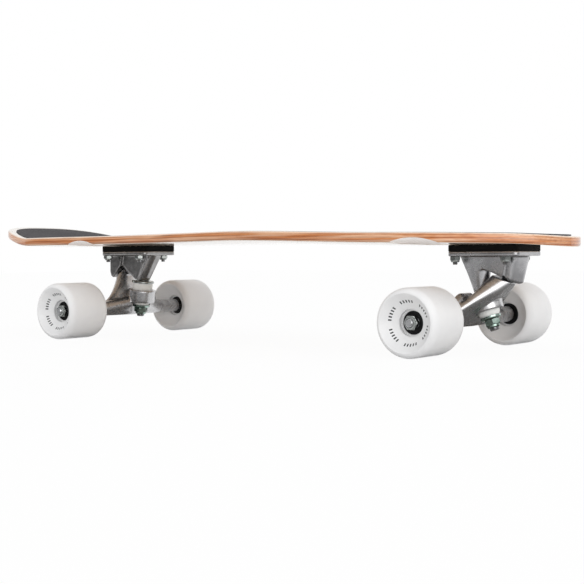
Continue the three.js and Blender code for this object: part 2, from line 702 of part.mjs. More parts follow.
function frontCasting() {
  const truck = FRONT;
  const top = flangeBottom(truck) + FLANGE_THICKNESS / 2;
  const seat = truck.seat;
  const notch = frontNotch();
  const pivot = pivotPoint(truck);
  const slope = Math.tan(FRONT_UNDERSIDE);
  const bossX = pivot.x - PIVOT_CUP_LIP * Math.cos(truck.steerAngle) + FRONT_BOSS_ADVANCE;
  const bossZ = notch.z - (bossX - notch.x) * slope;
  const tower = loft([
    ellipseLoop(seat.x, seat.z, truck.seatRadius, truck.seatRadius, -truck.kingpinLean),
    ellipseLoop(seat.x - FRONT_TOWER_TOP_SETBACK, top, FRONT_TOWER_TOP_LENGTH, FRONT_TOWER_TOP_WIDTH),
  ]);
  const boss = loft([
    ellipseLoop(bossX, bossZ, FRONT_BOSS_RADIUS, FRONT_BOSS_RADIUS, FRONT_UNDERSIDE),
    ellipseLoop(bossX + FRONT_BOSS_TOP_ADVANCE, top, FRONT_BOSS_TOP_RADIUS, FRONT_BOSS_TOP_RADIUS),
  ]);
  const web = sidePlate([
    [seat.x - FRONT_TOWER_TOP_SETBACK, top],
    [seat.x, notch.z - truck.seatRadius],
    [notch.x, notch.z],
    [bossX, bossZ],
    [bossX + FRONT_BOSS_TOP_ADVANCE, top],
  ], FRONT_WEB_HALF);
  return [tower, boss, web];
}

function rearCasting() {
  const truck = REAR;
  const top = flangeBottom(truck) + FLANGE_THICKNESS / 2;
  const seat = truck.seat;
  const pivot = pivotPoint(truck);
  const lean = truck.kingpinLean;
  const mouth = {
    x: pivot.x - PIVOT_CUP_LIP * Math.cos(truck.steerAngle),
    z: pivot.z - PIVOT_CUP_LIP * Math.sin(truck.steerAngle),
  };
  const across = { x: Math.sin(truck.steerAngle), z: -Math.cos(truck.steerAngle) };
  const foot = PIVOT_CUP_RADIUS + REAR_BOSS_WALL;
  const apex = [mouth.x - across.x * foot, mouth.z - across.z * foot];
  const toe = [mouth.x + across.x * foot, mouth.z + across.z * foot];
  const outer = pivot.x + REAR_BOSS_LOWER_WALL;
  const shoulder = pivot.z - REAR_BOSS_SHOULDER_DROP;
  const seatEdge = [seat.x + truck.seatRadius * Math.cos(lean), seat.z + truck.seatRadius * Math.sin(lean)];
  const tower = loft([
    ellipseLoop(seat.x, seat.z, truck.seatRadius, truck.seatRadius, -lean),
    ellipseLoop(seat.x - REAR_TOWER_TOP_SETBACK, top, REAR_TOWER_TOP_RADIUS, REAR_TOWER_TOP_RADIUS),
  ]);
  const web = sidePlate([
    [seat.x - REAR_TOWER_TOP_SETBACK, top],
    [seat.x, seat.z + OVERRUN],
    seatEdge,
    apex,
    [apex[0], top],
  ], REAR_WEB_HALF);
  const housing = sidePlate([
    [apex[0] - REAR_BOSS_WALL, top],
    apex,
    toe,
    [mix(toe[0], outer, Math.SQRT1_2), mix(shoulder, toe[1], Math.SQRT1_2)],
    [outer, shoulder],
    [outer, top],
  ], REAR_BOSS_HALF);
  const headFloor = kingpinHeadFloor(truck);
  const headBossRadius = KINGPIN_HEAD_SPACE + REAR_HEAD_BOSS_WALL;
  const headBoss = ontoKingpin(truck, upright(
    headBossRadius,
    headBossRadius,
    headFloor - GAP - REAR_HEAD_BOSS_WALL,
    headFloor + OVERRUN,
    SEGMENTS.round,
  ));
  return [tower, web, housing, headBoss];
}

function makeBaseplate(truck) {
  const casting = truck.toNose ? frontCasting() : rearCasting();
  const body = joined([flange(truck), ...casting]);
  const top = flangeTop(truck);
  const kingpinTop = (top - truck.seat.z) / Math.cos(truck.kingpinLean);
  const shaft = upright(KINGPIN_RADIUS + GAP, KINGPIN_RADIUS + GAP, -OVERRUN, kingpinTop + OVERRUN, SEGMENTS.round);
  const headFloor = kingpinHeadFloor(truck);
  const head = upright(KINGPIN_HEAD_SPACE, KINGPIN_HEAD_SPACE, headFloor - GAP, kingpinTop + PLATE_LENGTH / 4, SEGMENTS.round);
  const stemHole = ontoSteeringAxis(truck, upright(
    PIVOT_CUP_RADIUS + RUNNING_GAP,
    PIVOT_CUP_RADIUS + RUNNING_GAP,
    -PIVOT_CUP_LIP - PLATE_LENGTH / 4,
    PIVOT_CUP_DEPTH + GAP,
    SEGMENTS.round,
  ));
  const hole = upright(BOLT_HOLE_RADIUS, BOLT_HOLE_RADIUS, flangeBottom(truck) - OVERRUN, top + OVERRUN, SEGMENTS.small);
  const holes = flangeHoles(truck).map(({ x, y }) => hole.clone().translate(x, y, 0));
  return cut(body, [ontoKingpin(truck, shaft), ontoKingpin(truck, head), stemHole, ...holes]);
}

// Bolt places in the truck's own frame
function flangeHoles(truck) {
  return boltPlaces(truck).map(({ x, y }) => (truck.toNose
    ? { x: x - FRONT_AXLE_X, y }
    : { x: REAR_AXLE_X - x, y: -y }));
}

// Height of the kingpin head's underside above the seat, along the kingpin
function kingpinHeadFloor(truck) {
  const lean = truck.kingpinLean;
  const low = (KINGPIN_HEAD_FLATS / 2 / Math.cos(Math.PI / 6)) * Math.tan(lean);
  return (flangeTop(truck) - truck.seat.z) / Math.cos(lean) - KINGPIN_HEAD_HEIGHT - low - GAP;
}

// Pieces on the kingpin, in its own frame: the seat at height 0, the nut below
function makeKingpin(truck) {
  const floor = kingpinHeadFloor(truck);
  const corner = KINGPIN_HEAD_FLATS / 2 / Math.cos(Math.PI / 6);
  const end = -stackDepth(truck).nut - KINGPIN_NUT_HEIGHT - KINGPIN_END;
  const shaft = revolved([
    [0, end],
    [KINGPIN_RADIUS * 0.82, end],
    [KINGPIN_RADIUS, end + KINGPIN_RADIUS * 0.3],
    [KINGPIN_RADIUS, floor + OVERRUN],
    [0, floor + OVERRUN],
  ], SEGMENTS.round);
  return joined([shaft, upright(corner, corner, floor, floor + KINGPIN_HEAD_HEIGHT, 6)]);
}

function makeBushing({ radius, endRadius, height }) {
  const bore = KINGPIN_RADIUS + GAP;
  const round = radius * 0.12;
  return revolved([
    [bore, 0],
    [radius - round, 0],
    [radius, -round],
    [radius, -height * 0.35],
    [endRadius, -height + round],
    [endRadius - round, -height],
    [bore, -height],
    [bore, 0],
  ], SEGMENTS.round);
}

// Washer between the casting and the bushing: flat where the hanger's cup swings round it, dished where it shows
function makeBoardWasher(truck) {
  if (truck.flatWasherRadius) {
    const bore = KINGPIN_RADIUS + GAP;
    return revolved([
      [bore, -CUP_WASHER_THICKNESS],
      [truck.flatWasherRadius, -CUP_WASHER_THICKNESS],
      [truck.flatWasherRadius, 0],
      [bore, 0],
      [bore, -CUP_WASHER_THICKNESS],
    ], SEGMENTS.round);
  }
  return makeCupWasher(truck.boardBushing.radius, -1).translate(0, 0, -CUP_WASHER_THICKNESS);
}

// Dished washer whose lip holds the bushing
function makeCupWasher(bushingRadius, facing) {
  const bore = KINGPIN_RADIUS + GAP;
  const inner = bushingRadius + GAP;
  const outer = inner + CUP_WASHER_THICKNESS;
  const lip = facing * CUP_WASHER_LIP;
  const back = -facing * CUP_WASHER_THICKNESS;
  const points = [
    [bore, back],
    [inner, back],
    [outer, 0],
    [outer, lip],
    [inner, lip],
    [inner, 0],
    [bore, 0],
    [bore, back],
  ];
  return revolved(points, SEGMENTS.round);
}

function makePivotCup() {
  const inner = PIVOT_BALL_RADIUS + RUNNING_GAP * 2;
  return revolved([
    [0, PIVOT_CUP_DEPTH],
    [0, inner],
    [inner * 0.5, inner * 0.87],
    [inner * 0.87, inner * 0.5],
    [inner, 0],
    [inner, -PIVOT_CUP_LIP],
    [PIVOT_CUP_RADIUS, -PIVOT_CUP_LIP],
    [PIVOT_CUP_RADIUS, PIVOT_CUP_DEPTH],
    [0, PIVOT_CUP_DEPTH],
  ], SEGMENTS.round);
}

// Wheel on its own centre with its axle along Y
function makeWheel() {
  const half = WHEEL_WIDTH / 2;
  const seat = BEARING_RADIUS + RUNNING_GAP * 2;
  const stepCount = 3;
  const side = [
    [WHEEL_CORE_RADIUS, BEARING_SPACING / 2],
    [seat, BEARING_SPACING / 2],
    [seat, BEARING_FACE + GAP],
    [WHEEL_MOUTH_RADIUS, BEARING_FACE + GAP],
    [WHEEL_MOUTH_RADIUS, half - WHEEL_MOUTH_DEPTH],
    [WHEEL_BOWL_RADIUS, half - WHEEL_BOWL_DEPTH],
  ];
  for (let step = 0; step <= stepCount; step += 1) {
    const angle = (step / stepCount) * (Math.PI / 2);
    const radius = mix(WHEEL_LIP_RADIUS, WHEEL_RADIUS, Math.sin(angle));
    side.push([radius, half - WHEEL_SHOULDER * (1 - Math.cos(angle))]);
  }
  const other = side.slice().reverse().map(([radius, y]) => [radius, -y]);
  const outline = [...side, ...other, side[0]].map(([radius, y]) => new THREE.Vector2(radius, y));
  return facesOut(mergeVertices(bare(new THREE.LatheGeometry(outline, SEGMENTS.wheel))));
}

function makeBearing() {
  const half = BEARING_WIDTH / 2;
  const bore = AXLE_RADIUS + RUNNING_GAP;
  const hub = (BEARING_SHIELD_RADIUS + bore * 2) / 3;
  const inset = half - BEARING_SHIELD_DEPTH;
  const outline = [
    [bore, -half],
    [BEARING_RADIUS, -half],
    [BEARING_RADIUS, half],
    [BEARING_SHIELD_RADIUS, half],
    [BEARING_SHIELD_RADIUS, inset],
    [hub, half],
    [bore, half],
    [bore, -half],
  ].map(([radius, y]) => new THREE.Vector2(radius, y));
  return facesOut(mergeVertices(bare(new THREE.LatheGeometry(outline, SEGMENTS.round))));
}

function makeAxle() {
  const end = AXLE_HALF;
  const shoulder = end - AXLE_END_CHAMFER;
  const outline = [
    [0, -end],
    [AXLE_RADIUS - AXLE_END_CHAMFER, -end],
    [AXLE_RADIUS, -shoulder],
    [AXLE_RADIUS, shoulder],
    [AXLE_RADIUS - AXLE_END_CHAMFER, end],
    [0, end],
  ].map(([radius, y]) => new THREE.Vector2(radius, y));
  return new THREE.LatheGeometry(outline, SEGMENTS.round);
}

function makeSpeedWasher() {
  const bore = AXLE_RADIUS + RUNNING_GAP;
  return revolved([
    [bore, 0],
    [WASHER_RADIUS, 0],
    [WASHER_RADIUS, WASHER_THICKNESS],
    [bore, WASHER_THICKNESS],
    [bore, 0],
  ], SEGMENTS.round);
}

// Assembly
const board = new THREE.Group();

function put(parent, name, geometry, finish, place = {}) {
  const mesh = new THREE.Mesh(geometry, finish);
  mesh.name = name;
  mesh.position.set(place.x ?? 0, place.y ?? 0, place.z ?? 0);
  mesh.rotation.set(place.turnX ?? 0, place.turnY ?? 0, 0);
  parent.add(mesh);
  return mesh;
}

put(board, 'deck', makeDeck(), maple);
put(board, 'griptape', makeGriptape(), grit);

const wheel = makeWheel();
const bearing = makeBearing();
const speedWasher = makeSpeedWasher();
const axle = makeAxle();
const axleNut = lockNut(AXLE_NUT_FLATS, AXLE_NUT_HEIGHT, AXLE_NUT_COLLAR, AXLE_RADIUS + RUNNING_GAP, SEGMENTS.round);
const deckNut = lockNut(DECK_NUT_FLATS, DECK_NUT_HEIGHT, DECK_NUT_COLLAR, BOLT_RADIUS + RUNNING_GAP, SEGMENTS.small);
const pinBore = KINGPIN_RADIUS + RUNNING_GAP;
const kingpinNut = lockNut(KINGPIN_NUT_FLATS, KINGPIN_NUT_HEIGHT, KINGPIN_NUT_COLLAR, pinBore, SEGMENTS.round);

function fastenTruck(truck) {
  const { flange: seatHeight } = boltStack(truck);
  const bolt = makeDeckBolt(truck);
  boltPlaces(truck).forEach(({ x, y }, number) => {
    put(board, `${truck.name}_deck_bolt_${number + 1}`, bolt, zinc, { x, y, z: seatHeight });
    put(board, `${truck.name}_deck_nut_${number + 1}`, deckNut, zinc, { x, y, z: seatHeight });
  });
  put(board, `${truck.name}_riser`, makeRiser(truck), riserRubber);
}

function addTruck(truck) {
  const frame = new THREE.Group();
  frame.position.set(truck.toNose ? FRONT_AXLE_X : REAR_AXLE_X, 0, WHEEL_RADIUS);
  frame.rotation.z = truck.toNose ? 0 : Math.PI;
  board.add(frame);
  put(frame, `${truck.name}_baseplate`, makeBaseplate(truck), castGrey);
  put(frame, `${truck.name}_hanger`, makeHanger(truck), polished);
  put(frame, `${truck.name}_axle`, axle, zinc);
  const pivot = pivotPoint(truck);
  put(frame, `${truck.name}_pivot_cup`, makePivotCup(), blackPlastic, {
    x: pivot.x,
    z: pivot.z,
    turnY: Math.PI / 2 - truck.steerAngle,
  });
  addKingpin(truck, frame);
  ['left', 'right'].forEach((side) => addWheel(truck, frame, side));
}

function addKingpin(truck, frame) {
  const depth = stackDepth(truck);
  const onPin = (key) => {
    const point = kingpinPoint(truck, depth[key]);
    return { x: point.x, z: point.z, turnY: -truck.kingpinLean };
  };
  const seat = { x: truck.seat.x, z: truck.seat.z, turnY: -truck.kingpinLean };
  put(frame, `${truck.name}_kingpin`, makeKingpin(truck), zinc, seat);
  put(frame, `${truck.name}_board_washer`, makeBoardWasher(truck), zinc, onPin('washer'));
  put(frame, `${truck.name}_board_bushing`, makeBushing(truck.boardBushing), bushingUrethane, onPin('boardBushing'));
  put(frame, `${truck.name}_road_bushing`, makeBushing(truck.roadBushing), bushingUrethane, onPin('roadBushing'));
  put(frame, `${truck.name}_road_washer`, makeCupWasher(truck.roadBushing.endRadius, 1), zinc, onPin('roadWasher'));
  put(frame, `${truck.name}_kingpin_nut`, kingpinNut, zinc, onPin('nut'));
}

// Left is the side of +Y with the nose ahead
function addWheel(truck, frame, side) {
  const left = side === 'left';
  const sign = left === truck.toNose ? 1 : -1;
  const label = `${truck.name}_${side}`;
  const bearingOffset = (BEARING_SPACING + BEARING_WIDTH) / 2;
  const centre = (sign * WHEEL_TRACK) / 2;
  put(frame, `${label}_wheel`, wheel, urethane, { y: centre });
  put(frame, `${label}_inner_bearing`, bearing, blackShield, { y: centre - sign * bearingOffset });
  put(frame, `${label}_outer_bearing`, bearing, blackShield, { y: centre + sign * bearingOffset });
  const outward = (-sign * Math.PI) / 2;
  const washerFace = WHEEL_TRACK / 2 + BEARING_FACE + RUNNING_GAP;
  put(frame, `${label}_speed_washer`, speedWasher, zinc, { y: sign * washerFace, turnX: outward });
  put(frame, `${label}_axle_nut`, axleNut, zinc, { y: sign * AXLE_NUT_FACE, turnX: outward + Math.PI });
}

[FRONT, REAR].forEach((truck) => {
  fastenTruck(truck);
  addTruck(truck);
});

export default board;
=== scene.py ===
# %% [markdown]
# # A surf skateboard
# The board has a kicked maple deck, a carving truck in front, a plain truck behind, and four wide soft
# wheels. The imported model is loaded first. It fixes every place and size, and each finer piece below is built
# around it.

# %% Load the frame
from math import atan2, cos, pi, radians, sin, sqrt, tan

import bmesh
import bpy
from mathutils import Matrix, Vector


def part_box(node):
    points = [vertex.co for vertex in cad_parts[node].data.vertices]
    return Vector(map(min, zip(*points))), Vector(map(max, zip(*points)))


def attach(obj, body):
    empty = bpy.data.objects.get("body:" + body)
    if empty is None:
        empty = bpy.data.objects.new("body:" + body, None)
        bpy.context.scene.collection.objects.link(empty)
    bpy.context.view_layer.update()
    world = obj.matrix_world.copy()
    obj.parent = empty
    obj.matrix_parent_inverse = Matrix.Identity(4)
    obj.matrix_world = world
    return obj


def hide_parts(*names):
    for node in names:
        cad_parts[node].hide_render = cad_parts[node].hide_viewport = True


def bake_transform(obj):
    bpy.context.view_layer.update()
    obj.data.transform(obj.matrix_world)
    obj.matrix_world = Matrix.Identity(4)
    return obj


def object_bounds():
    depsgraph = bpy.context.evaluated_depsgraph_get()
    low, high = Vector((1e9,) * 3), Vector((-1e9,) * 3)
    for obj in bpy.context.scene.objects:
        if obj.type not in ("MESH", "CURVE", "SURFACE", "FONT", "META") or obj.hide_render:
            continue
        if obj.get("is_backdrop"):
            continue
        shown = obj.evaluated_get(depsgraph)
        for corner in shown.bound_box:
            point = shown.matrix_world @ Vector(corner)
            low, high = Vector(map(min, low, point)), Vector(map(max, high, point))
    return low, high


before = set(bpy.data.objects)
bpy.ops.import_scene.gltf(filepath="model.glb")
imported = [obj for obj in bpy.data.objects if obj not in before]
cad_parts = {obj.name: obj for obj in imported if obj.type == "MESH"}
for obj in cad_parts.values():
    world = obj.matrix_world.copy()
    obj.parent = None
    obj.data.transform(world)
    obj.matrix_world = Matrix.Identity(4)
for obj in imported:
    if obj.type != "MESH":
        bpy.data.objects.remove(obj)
solid_low, solid_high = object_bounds()
print("pieces in the frame:", len(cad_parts), "overall:", [round(x, 4) for x in solid_high - solid_low])

# %% [markdown]
# Sizes are written in millimetres, and one factor turns them into metres. A few small sums serve every
# section.

# %% Units and small sums
MM = 0.001


def mix(first, second, share):
    return first + (second - first) * share


def smooth(share):
    held = min(max(share, 0), 1)
    return held * held * (3 - 2 * held)


def spread(first, last, steps):
    """Even steps from the first value to the last, with both ends."""
    return [mix(first, last, n / steps) for n in range(steps + 1)]


def shift(x, y, z):
    return Matrix.Translation((x, y, z))


def spin(angle, axis):
    return Matrix.Rotation(angle, 4, axis)


print("sums are ready")

# %% [markdown]
# ## Camera
# The photograph was taken close to the ground with a short telephoto lens. The camera looks along the board
# from its nose side, almost level, so the deck is seen edge-on and only the raised tail shows its top.

# %% Place the camera
PHOTO_SIDE = 584
FOCAL_PIXELS = 1132
SENSOR_WIDTH = 36
CAMERA_AZIMUTH = radians(37.4)
CAMERA_ELEVATION = radians(1.7)
CAMERA_ROLL = radians(-0.4)
CAMERA_PLACE = Vector((0.8044, -0.9935, 0.0919))


def camera_axes(azimuth, elevation, roll):
    back = Vector((sin(azimuth) * cos(elevation), -cos(azimuth) * cos(elevation), sin(elevation)))
    level = Vector((cos(azimuth), sin(azimuth), 0))
    above = back.cross(level)
    right = level * cos(roll) + above * sin(roll)
    up = above * cos(roll) - level * sin(roll)
    return Matrix((right, up, back)).transposed()


camera = bpy.data.objects.new("camera", bpy.data.cameras.new("camera"))
camera.data.sensor_width = SENSOR_WIDTH
camera.data.lens = FOCAL_PIXELS / PHOTO_SIDE * SENSOR_WIDTH
axes = camera_axes(CAMERA_AZIMUTH, CAMERA_ELEVATION, CAMERA_ROLL)
camera.matrix_world = Matrix.Translation(CAMERA_PLACE) @ axes.to_4x4()
bpy.context.scene.collection.objects.link(camera)
bpy.context.scene.camera = camera
print("lens:", round(camera.data.lens, 1), "mm")

# %% [markdown]
# ## Sums on shader sockets
# A material is a graph of nodes. Written one node at a time it is hard to read, so a small class wraps a
# socket and lets Python's own operators add the Math nodes. Every other kind of node comes from one method of
# the finish.

# %% Wrap a socket
class Wire:
    """An output socket that Python can do sums with."""

    def __init__(self, finish, socket):
        self.finish = finish
        self.socket = socket

    def sum(self, operation, first, second):
        return self.finish.maths(operation, first, second)

    def __add__(self, other):
        return self.sum("ADD", self, other)

    def __sub__(self, other):
        return self.sum("SUBTRACT", self, other)

    def __mul__(self, other):
        return self.sum("MULTIPLY", self, other)

    def __truediv__(self, other):
        return self.sum("DIVIDE", self, other)

    def __gt__(self, other):
        return self.sum("GREATER_THAN", self, other)

    def __lt__(self, other):
        return self.sum("LESS_THAN", self, other)


print("sockets take sums")

# %% [markdown]
# A finish is one material. It starts from the principled shader, takes its steady values as plain numbers,
# and then links whatever varies over the surface.

# %% Build finishes
def srgb(red, green, blue):
    """A colour read from 0 to 255, as the linear values that a shader wants."""
    shares = (value / 255 for value in (red, green, blue))
    linear = [s / 12.92 if s <= 0.04045 else ((s + 0.055) / 1.055) ** 2.4 for s in shares]
    return (*linear, 1)


class Finish:
    def __init__(self, name, **steady):
        self.material = bpy.data.materials.new(name)
        self.material.use_nodes = True
        self.tree = self.material.node_tree
        self.shader = self.tree.nodes["Principled BSDF"]
        for socket, value in steady.items():
            self.feed(self.shader, socket.replace("_", " ").title(), value)

    def feed(self, node, socket, value):
        if isinstance(value, Wire):
            self.tree.links.new(value.socket, node.inputs[socket])
        else:
            node.inputs[socket].default_value = value

    def node(self, kind, settings=None, inputs=None, output=0):
        made = self.tree.nodes.new(kind)
        for name, value in (settings or {}).items():
            if name == "stops":
                self.set_stops(made.color_ramp, value)
            else:
                setattr(made, name, value)
        for socket, value in (inputs or {}).items():
            self.feed(made, socket, value)
        return Wire(self, made.outputs[output])

    @staticmethod
    def set_stops(ramp, stops):
        while len(ramp.elements) < len(stops):
            ramp.elements.new(1)
        for element, (place, colour) in zip(ramp.elements, stops):
            element.position = place
            element.color = colour

    def vary(self, socket, value):
        self.feed(self.shader, socket, value)

    def maths(self, operation, *values):
        return self.node("ShaderNodeMath", {"operation": operation}, dict(enumerate(values)))

    def place(self):
        return self.node("ShaderNodeTexCoord", output="Object")

    def stretched(self, scale):
        return self.node("ShaderNodeVectorMath", {"operation": "MULTIPLY"}, {0: self.place(), 1: scale})

    def noise(self, vector, scale, detail, roughness=0.5):
        inputs = {"Vector": vector, "Scale": scale, "Detail": detail, "Roughness": roughness}
        return self.node("ShaderNodeTexNoise", {}, inputs)

    def ramp(self, value, stops):
        return self.node("ShaderNodeValToRGB", {"stops": stops}, {0: value})

    def mix(self, share, first, second, kind="MIX"):
        settings = {"data_type": "RGBA", "blend_type": kind}
        return self.node("ShaderNodeMix", settings, {0: share, 6: first, 7: second}, 2)

    def attribute(self, name):
        return self.node("ShaderNodeAttribute", {"attribute_name": name}, {}, "Fac")

    def bump(self, height, strength, distance):
        made = self.node("ShaderNodeBump", {}, {"Height": height, "Strength": strength, "Distance": distance})
        self.vary("Normal", made)


print("shader helpers are ready")

# %% [markdown]
# ## Studio
# The photograph has a plain white ground. The light here is soft and even, so that colours come out about as
# they are written, with a weak key light low on the nose side. The floor and the world turn white only for
# rays from the camera and in reflections, and the floor still takes a faint shadow. Polished metal in an
# all-white room looks flat, so grey cards stand and lie round the board, and only reflections show them.

# %% Light the scene
AMBIENT_LEVEL = 0.86
FLOOR_WHITE_SHARE = 0.95
FLOOR_SIZE = 12
KEY_PLACE = Vector((2.3, -1.3, 0.95))
KEY_WIDTH = 2.2
KEY_WATTS = 20
SOFT_WHITE = (1, 1, 1, 1)
BLACK = (0, 0, 0, 1)
MATT = 0.9
FLOOR_TONE = 240
RAY_KINDS = ("Is Camera Ray", "Is Glossy Ray", "Is Transmission Ray")
CARD_STEPS = 36
CARD_LIFT = 0.002
CARD_START = 1
CARD_RADIUS = 2.2
LEFT_CARD_HEIGHT = 1.1
RIGHT_CARD_HEIGHT = 0.9
FLOOR_CARD_RADIUS = 0.52
CARD_FOOT = [(CARD_START, CARD_LIFT), (CARD_RADIUS, CARD_LIFT)]
LEFT_CARD = CARD_FOOT + [(CARD_RADIUS, LEFT_CARD_HEIGHT)]
RIGHT_CARD = CARD_FOOT + [(CARD_RADIUS, RIGHT_CARD_HEIGHT)]
FLOOR_CARD = [(0, CARD_LIFT), (FLOOR_CARD_RADIUS, CARD_LIFT)]
# A card's turns are degrees round from the camera's direction, and its line is radius and height.
CARDS = [
    {"name": "left card", "turns": (-104, -16), "line": LEFT_CARD, "tone": 104},
    {"name": "right card", "turns": (48, 100), "line": RIGHT_CARD, "tone": 150},
    {"name": "left floor card", "turns": (-132, -13), "line": FLOOR_CARD, "tone": 146},
    {"name": "right floor card", "turns": (12, 80), "line": FLOOR_CARD, "tone": 146},
]


def seen_directly(finish):
    """1 for rays from the camera and in reflections, 0 for the light that falls on the object."""
    camera_ray, glossy, transmission = (finish.node("ShaderNodeLightPath", output=kind) for kind in RAY_KINDS)
    return finish.maths("MINIMUM", camera_ray + glossy + transmission, 1)


def light_world():
    world = bpy.data.worlds.new("studio")
    world.use_nodes = True
    bpy.context.scene.world = world
    sky = Finish("world helper")
    bpy.data.materials.remove(sky.material)
    sky.tree = world.node_tree
    background = world.node_tree.nodes["Background"]
    sky.feed(background, "Color", SOFT_WHITE)
    sky.feed(background, "Strength", seen_directly(sky) * (1 - AMBIENT_LEVEL) + AMBIENT_LEVEL)


def floor_finish():
    finish = Finish("white floor", Base_Color=srgb(FLOOR_TONE, FLOOR_TONE, FLOOR_TONE), Roughness=MATT)
    glow = finish.node("ShaderNodeEmission", {}, {"Color": SOFT_WHITE, "Strength": 1})
    share = seen_directly(finish) * FLOOR_WHITE_SHARE
    lit = Wire(finish, finish.shader.outputs[0])
    surface = finish.node("ShaderNodeMixShader", {}, {0: share, 1: lit, 2: glow})
    finish.feed(finish.tree.nodes["Material Output"], "Surface", surface)
    return finish.material


def lay_floor():
    half = FLOOR_SIZE / 2
    mesh = bpy.data.meshes.new("floor")
    corners = [(-half, -half, 0), (half, -half, 0), (half, half, 0), (-half, half, 0)]
    mesh.from_pydata(corners, [], [(0, 1, 2, 3)])
    floor = bpy.data.objects.new("floor", mesh)
    floor.data.materials.append(floor_finish())
    bpy.context.scene.collection.objects.link(floor)
    floor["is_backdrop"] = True


def hang_key():
    light = bpy.data.objects.new("key", bpy.data.lights.new("key", "AREA"))
    light.data.size = KEY_WIDTH
    light.data.energy = KEY_WATTS
    light.location = KEY_PLACE
    light.rotation_euler = (-KEY_PLACE).to_track_quat("-Z", "Y").to_euler()
    bpy.context.scene.collection.objects.link(light)


def stand_card(name, turns, line, tone):
    """A grey card swept round the object. Only reflections show it, as dark bands between bright ones."""
    points = []
    for degrees in spread(*turns, CARD_STEPS):
        turn = CAMERA_AZIMUTH - pi / 2 + radians(degrees)
        points += [(radius * cos(turn), radius * sin(turn), height) for radius, height in line]
    mesh = bpy.data.meshes.new(name)
    rows = len(line)
    corners = [(n * rows + m, (n + 1) * rows + m) for n in range(CARD_STEPS) for m in range(rows - 1)]
    mesh.from_pydata(points, [], [(near, near + 1, far + 1, far) for near, far in corners])
    card = bpy.data.objects.new(name, mesh)
    card.data.materials.append(Finish(name, Base_Color=srgb(tone, tone, tone), Roughness=MATT).material)
    card.visible_camera = False
    card.visible_diffuse = False
    card.visible_transmission = False
    card.visible_shadow = False
    bpy.context.scene.collection.objects.link(card)
    card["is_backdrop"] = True


light_world()
lay_floor()
hang_key()
for card in CARDS:
    stand_card(**card)
bpy.context.scene.view_settings.view_transform = "Standard"
print("studio is lit")

# %% [markdown]
# ## Mesh helpers
# Nearly every piece of a skateboard is turned, extruded or cast. So three helpers do most of the work: a skin
# over a row of loops, a turned profile, and a casting, which melts rough parts together and then smooths the
# joins.

# %% Make a skin over loops
SHARP_ANGLE = radians(32)
MERGE_DISTANCE = 0.001 * MM
ROUND_SIDES = 64


def new_object(name, points, faces):
    mesh = bpy.data.meshes.new(name)
    mesh.from_pydata(points, [], faces)
    made = bpy.data.objects.new(name, mesh)
    bpy.context.scene.collection.objects.link(made)
    return made


def clean(obj):
    """Merges doubled points, turns faces outwards, and shades smooth except over sharp edges."""
    work = bmesh.new()
    work.from_mesh(obj.data)
    bmesh.ops.remove_doubles(work, verts=work.verts, dist=MERGE_DISTANCE)
    bmesh.ops.dissolve_degenerate(work, edges=work.edges, dist=MERGE_DISTANCE)
    bmesh.ops.recalc_face_normals(work, faces=work.faces)
    work.to_mesh(obj.data)
    work.free()
    obj.data.shade_smooth()
    obj.data.set_sharp_from_angle(angle=SHARP_ANGLE)
    return obj


def skin(name, loops, ring=False):
    """Joins each loop to the next. A ring's last loop joins its first, and otherwise the ends are capped."""
    count = len(loops[0])
    points = [point for loop in loops for point in loop]
    faces = []
    rows = len(loops) if ring else len(loops) - 1
    for row in range(rows):
        below = row * count
        above = ((row + 1) % len(loops)) * count
        for n in range(count):
            after = (n + 1) % count
            faces.append((below + n, below + after, above + after, above + n))
    if not ring:
        faces.append(tuple(range(count)))
        faces.append(tuple(range(len(points) - count, len(points))))
    return clean(new_object(name, points, faces))


def round_angles(sides):
    return [2 * pi * n / sides for n in range(sides)]


def circle(radius, height, sides):
    return [(radius * cos(a), radius * sin(a), height) for a in round_angles(sides)]


def turned(name, profile, sides=ROUND_SIDES, ring=False):
    """A profile of radius and height, turned about Z."""
    return skin(name, [circle(radius, height, sides) for radius, height in profile], ring)


def flipped(profile):
    return [(radius, -height) for radius, height in reversed(profile)]


print("skins and turned profiles are ready")

# %% [markdown]
# Modifiers are applied by reading the evaluated mesh back, which needs no operators and gives the same mesh
# each run.

# %% Apply modifiers, melt and carve
SOFTENING_SHARE = 0.5
SMALL_SIDES = 48


def apply_modifiers(obj):
    bpy.context.view_layer.update()
    seen = obj.evaluated_get(bpy.context.evaluated_depsgraph_get())
    mesh = bpy.data.meshes.new_from_object(seen)
    obj.modifiers.clear()
    obj.data = mesh


def join(name, parts):
    points, faces = [], []
    for part in parts:
        start = len(points)
        points += [tuple(part.matrix_world @ v.co) for v in part.data.vertices]
        faces += [tuple(start + i for i in face.vertices) for face in part.data.polygons]
        bpy.data.objects.remove(part)
    return new_object(name, points, faces)


def cast(name, parts, grain, softening):
    """Melts overlapping parts into one skin with soft joins, as metal fills a mould."""
    whole = join(name, parts)
    remesh = whole.modifiers.new("melt", "REMESH")
    remesh.mode = "VOXEL"
    remesh.voxel_size = grain
    soften = whole.modifiers.new("soften", "SMOOTH")
    soften.factor = SOFTENING_SHARE
    soften.iterations = softening
    apply_modifiers(whole)
    whole.data.shade_smooth()
    return whole


def carve(obj, tools):
    for tool in tools:
        cut = obj.modifiers.new("cut", "BOOLEAN")
        cut.operation = "DIFFERENCE"
        cut.solver = "MANIFOLD"
        cut.object = tool
    apply_modifiers(obj)
    for tool in tools:
        bpy.data.objects.remove(tool)
    obj.data.shade_smooth()
    obj.data.set_sharp_from_angle(angle=SHARP_ANGLE)


def moved(obj, matrix):
    obj.data.transform(matrix)
    if matrix.determinant() < 0:
        obj.data.flip_normals()
    return obj


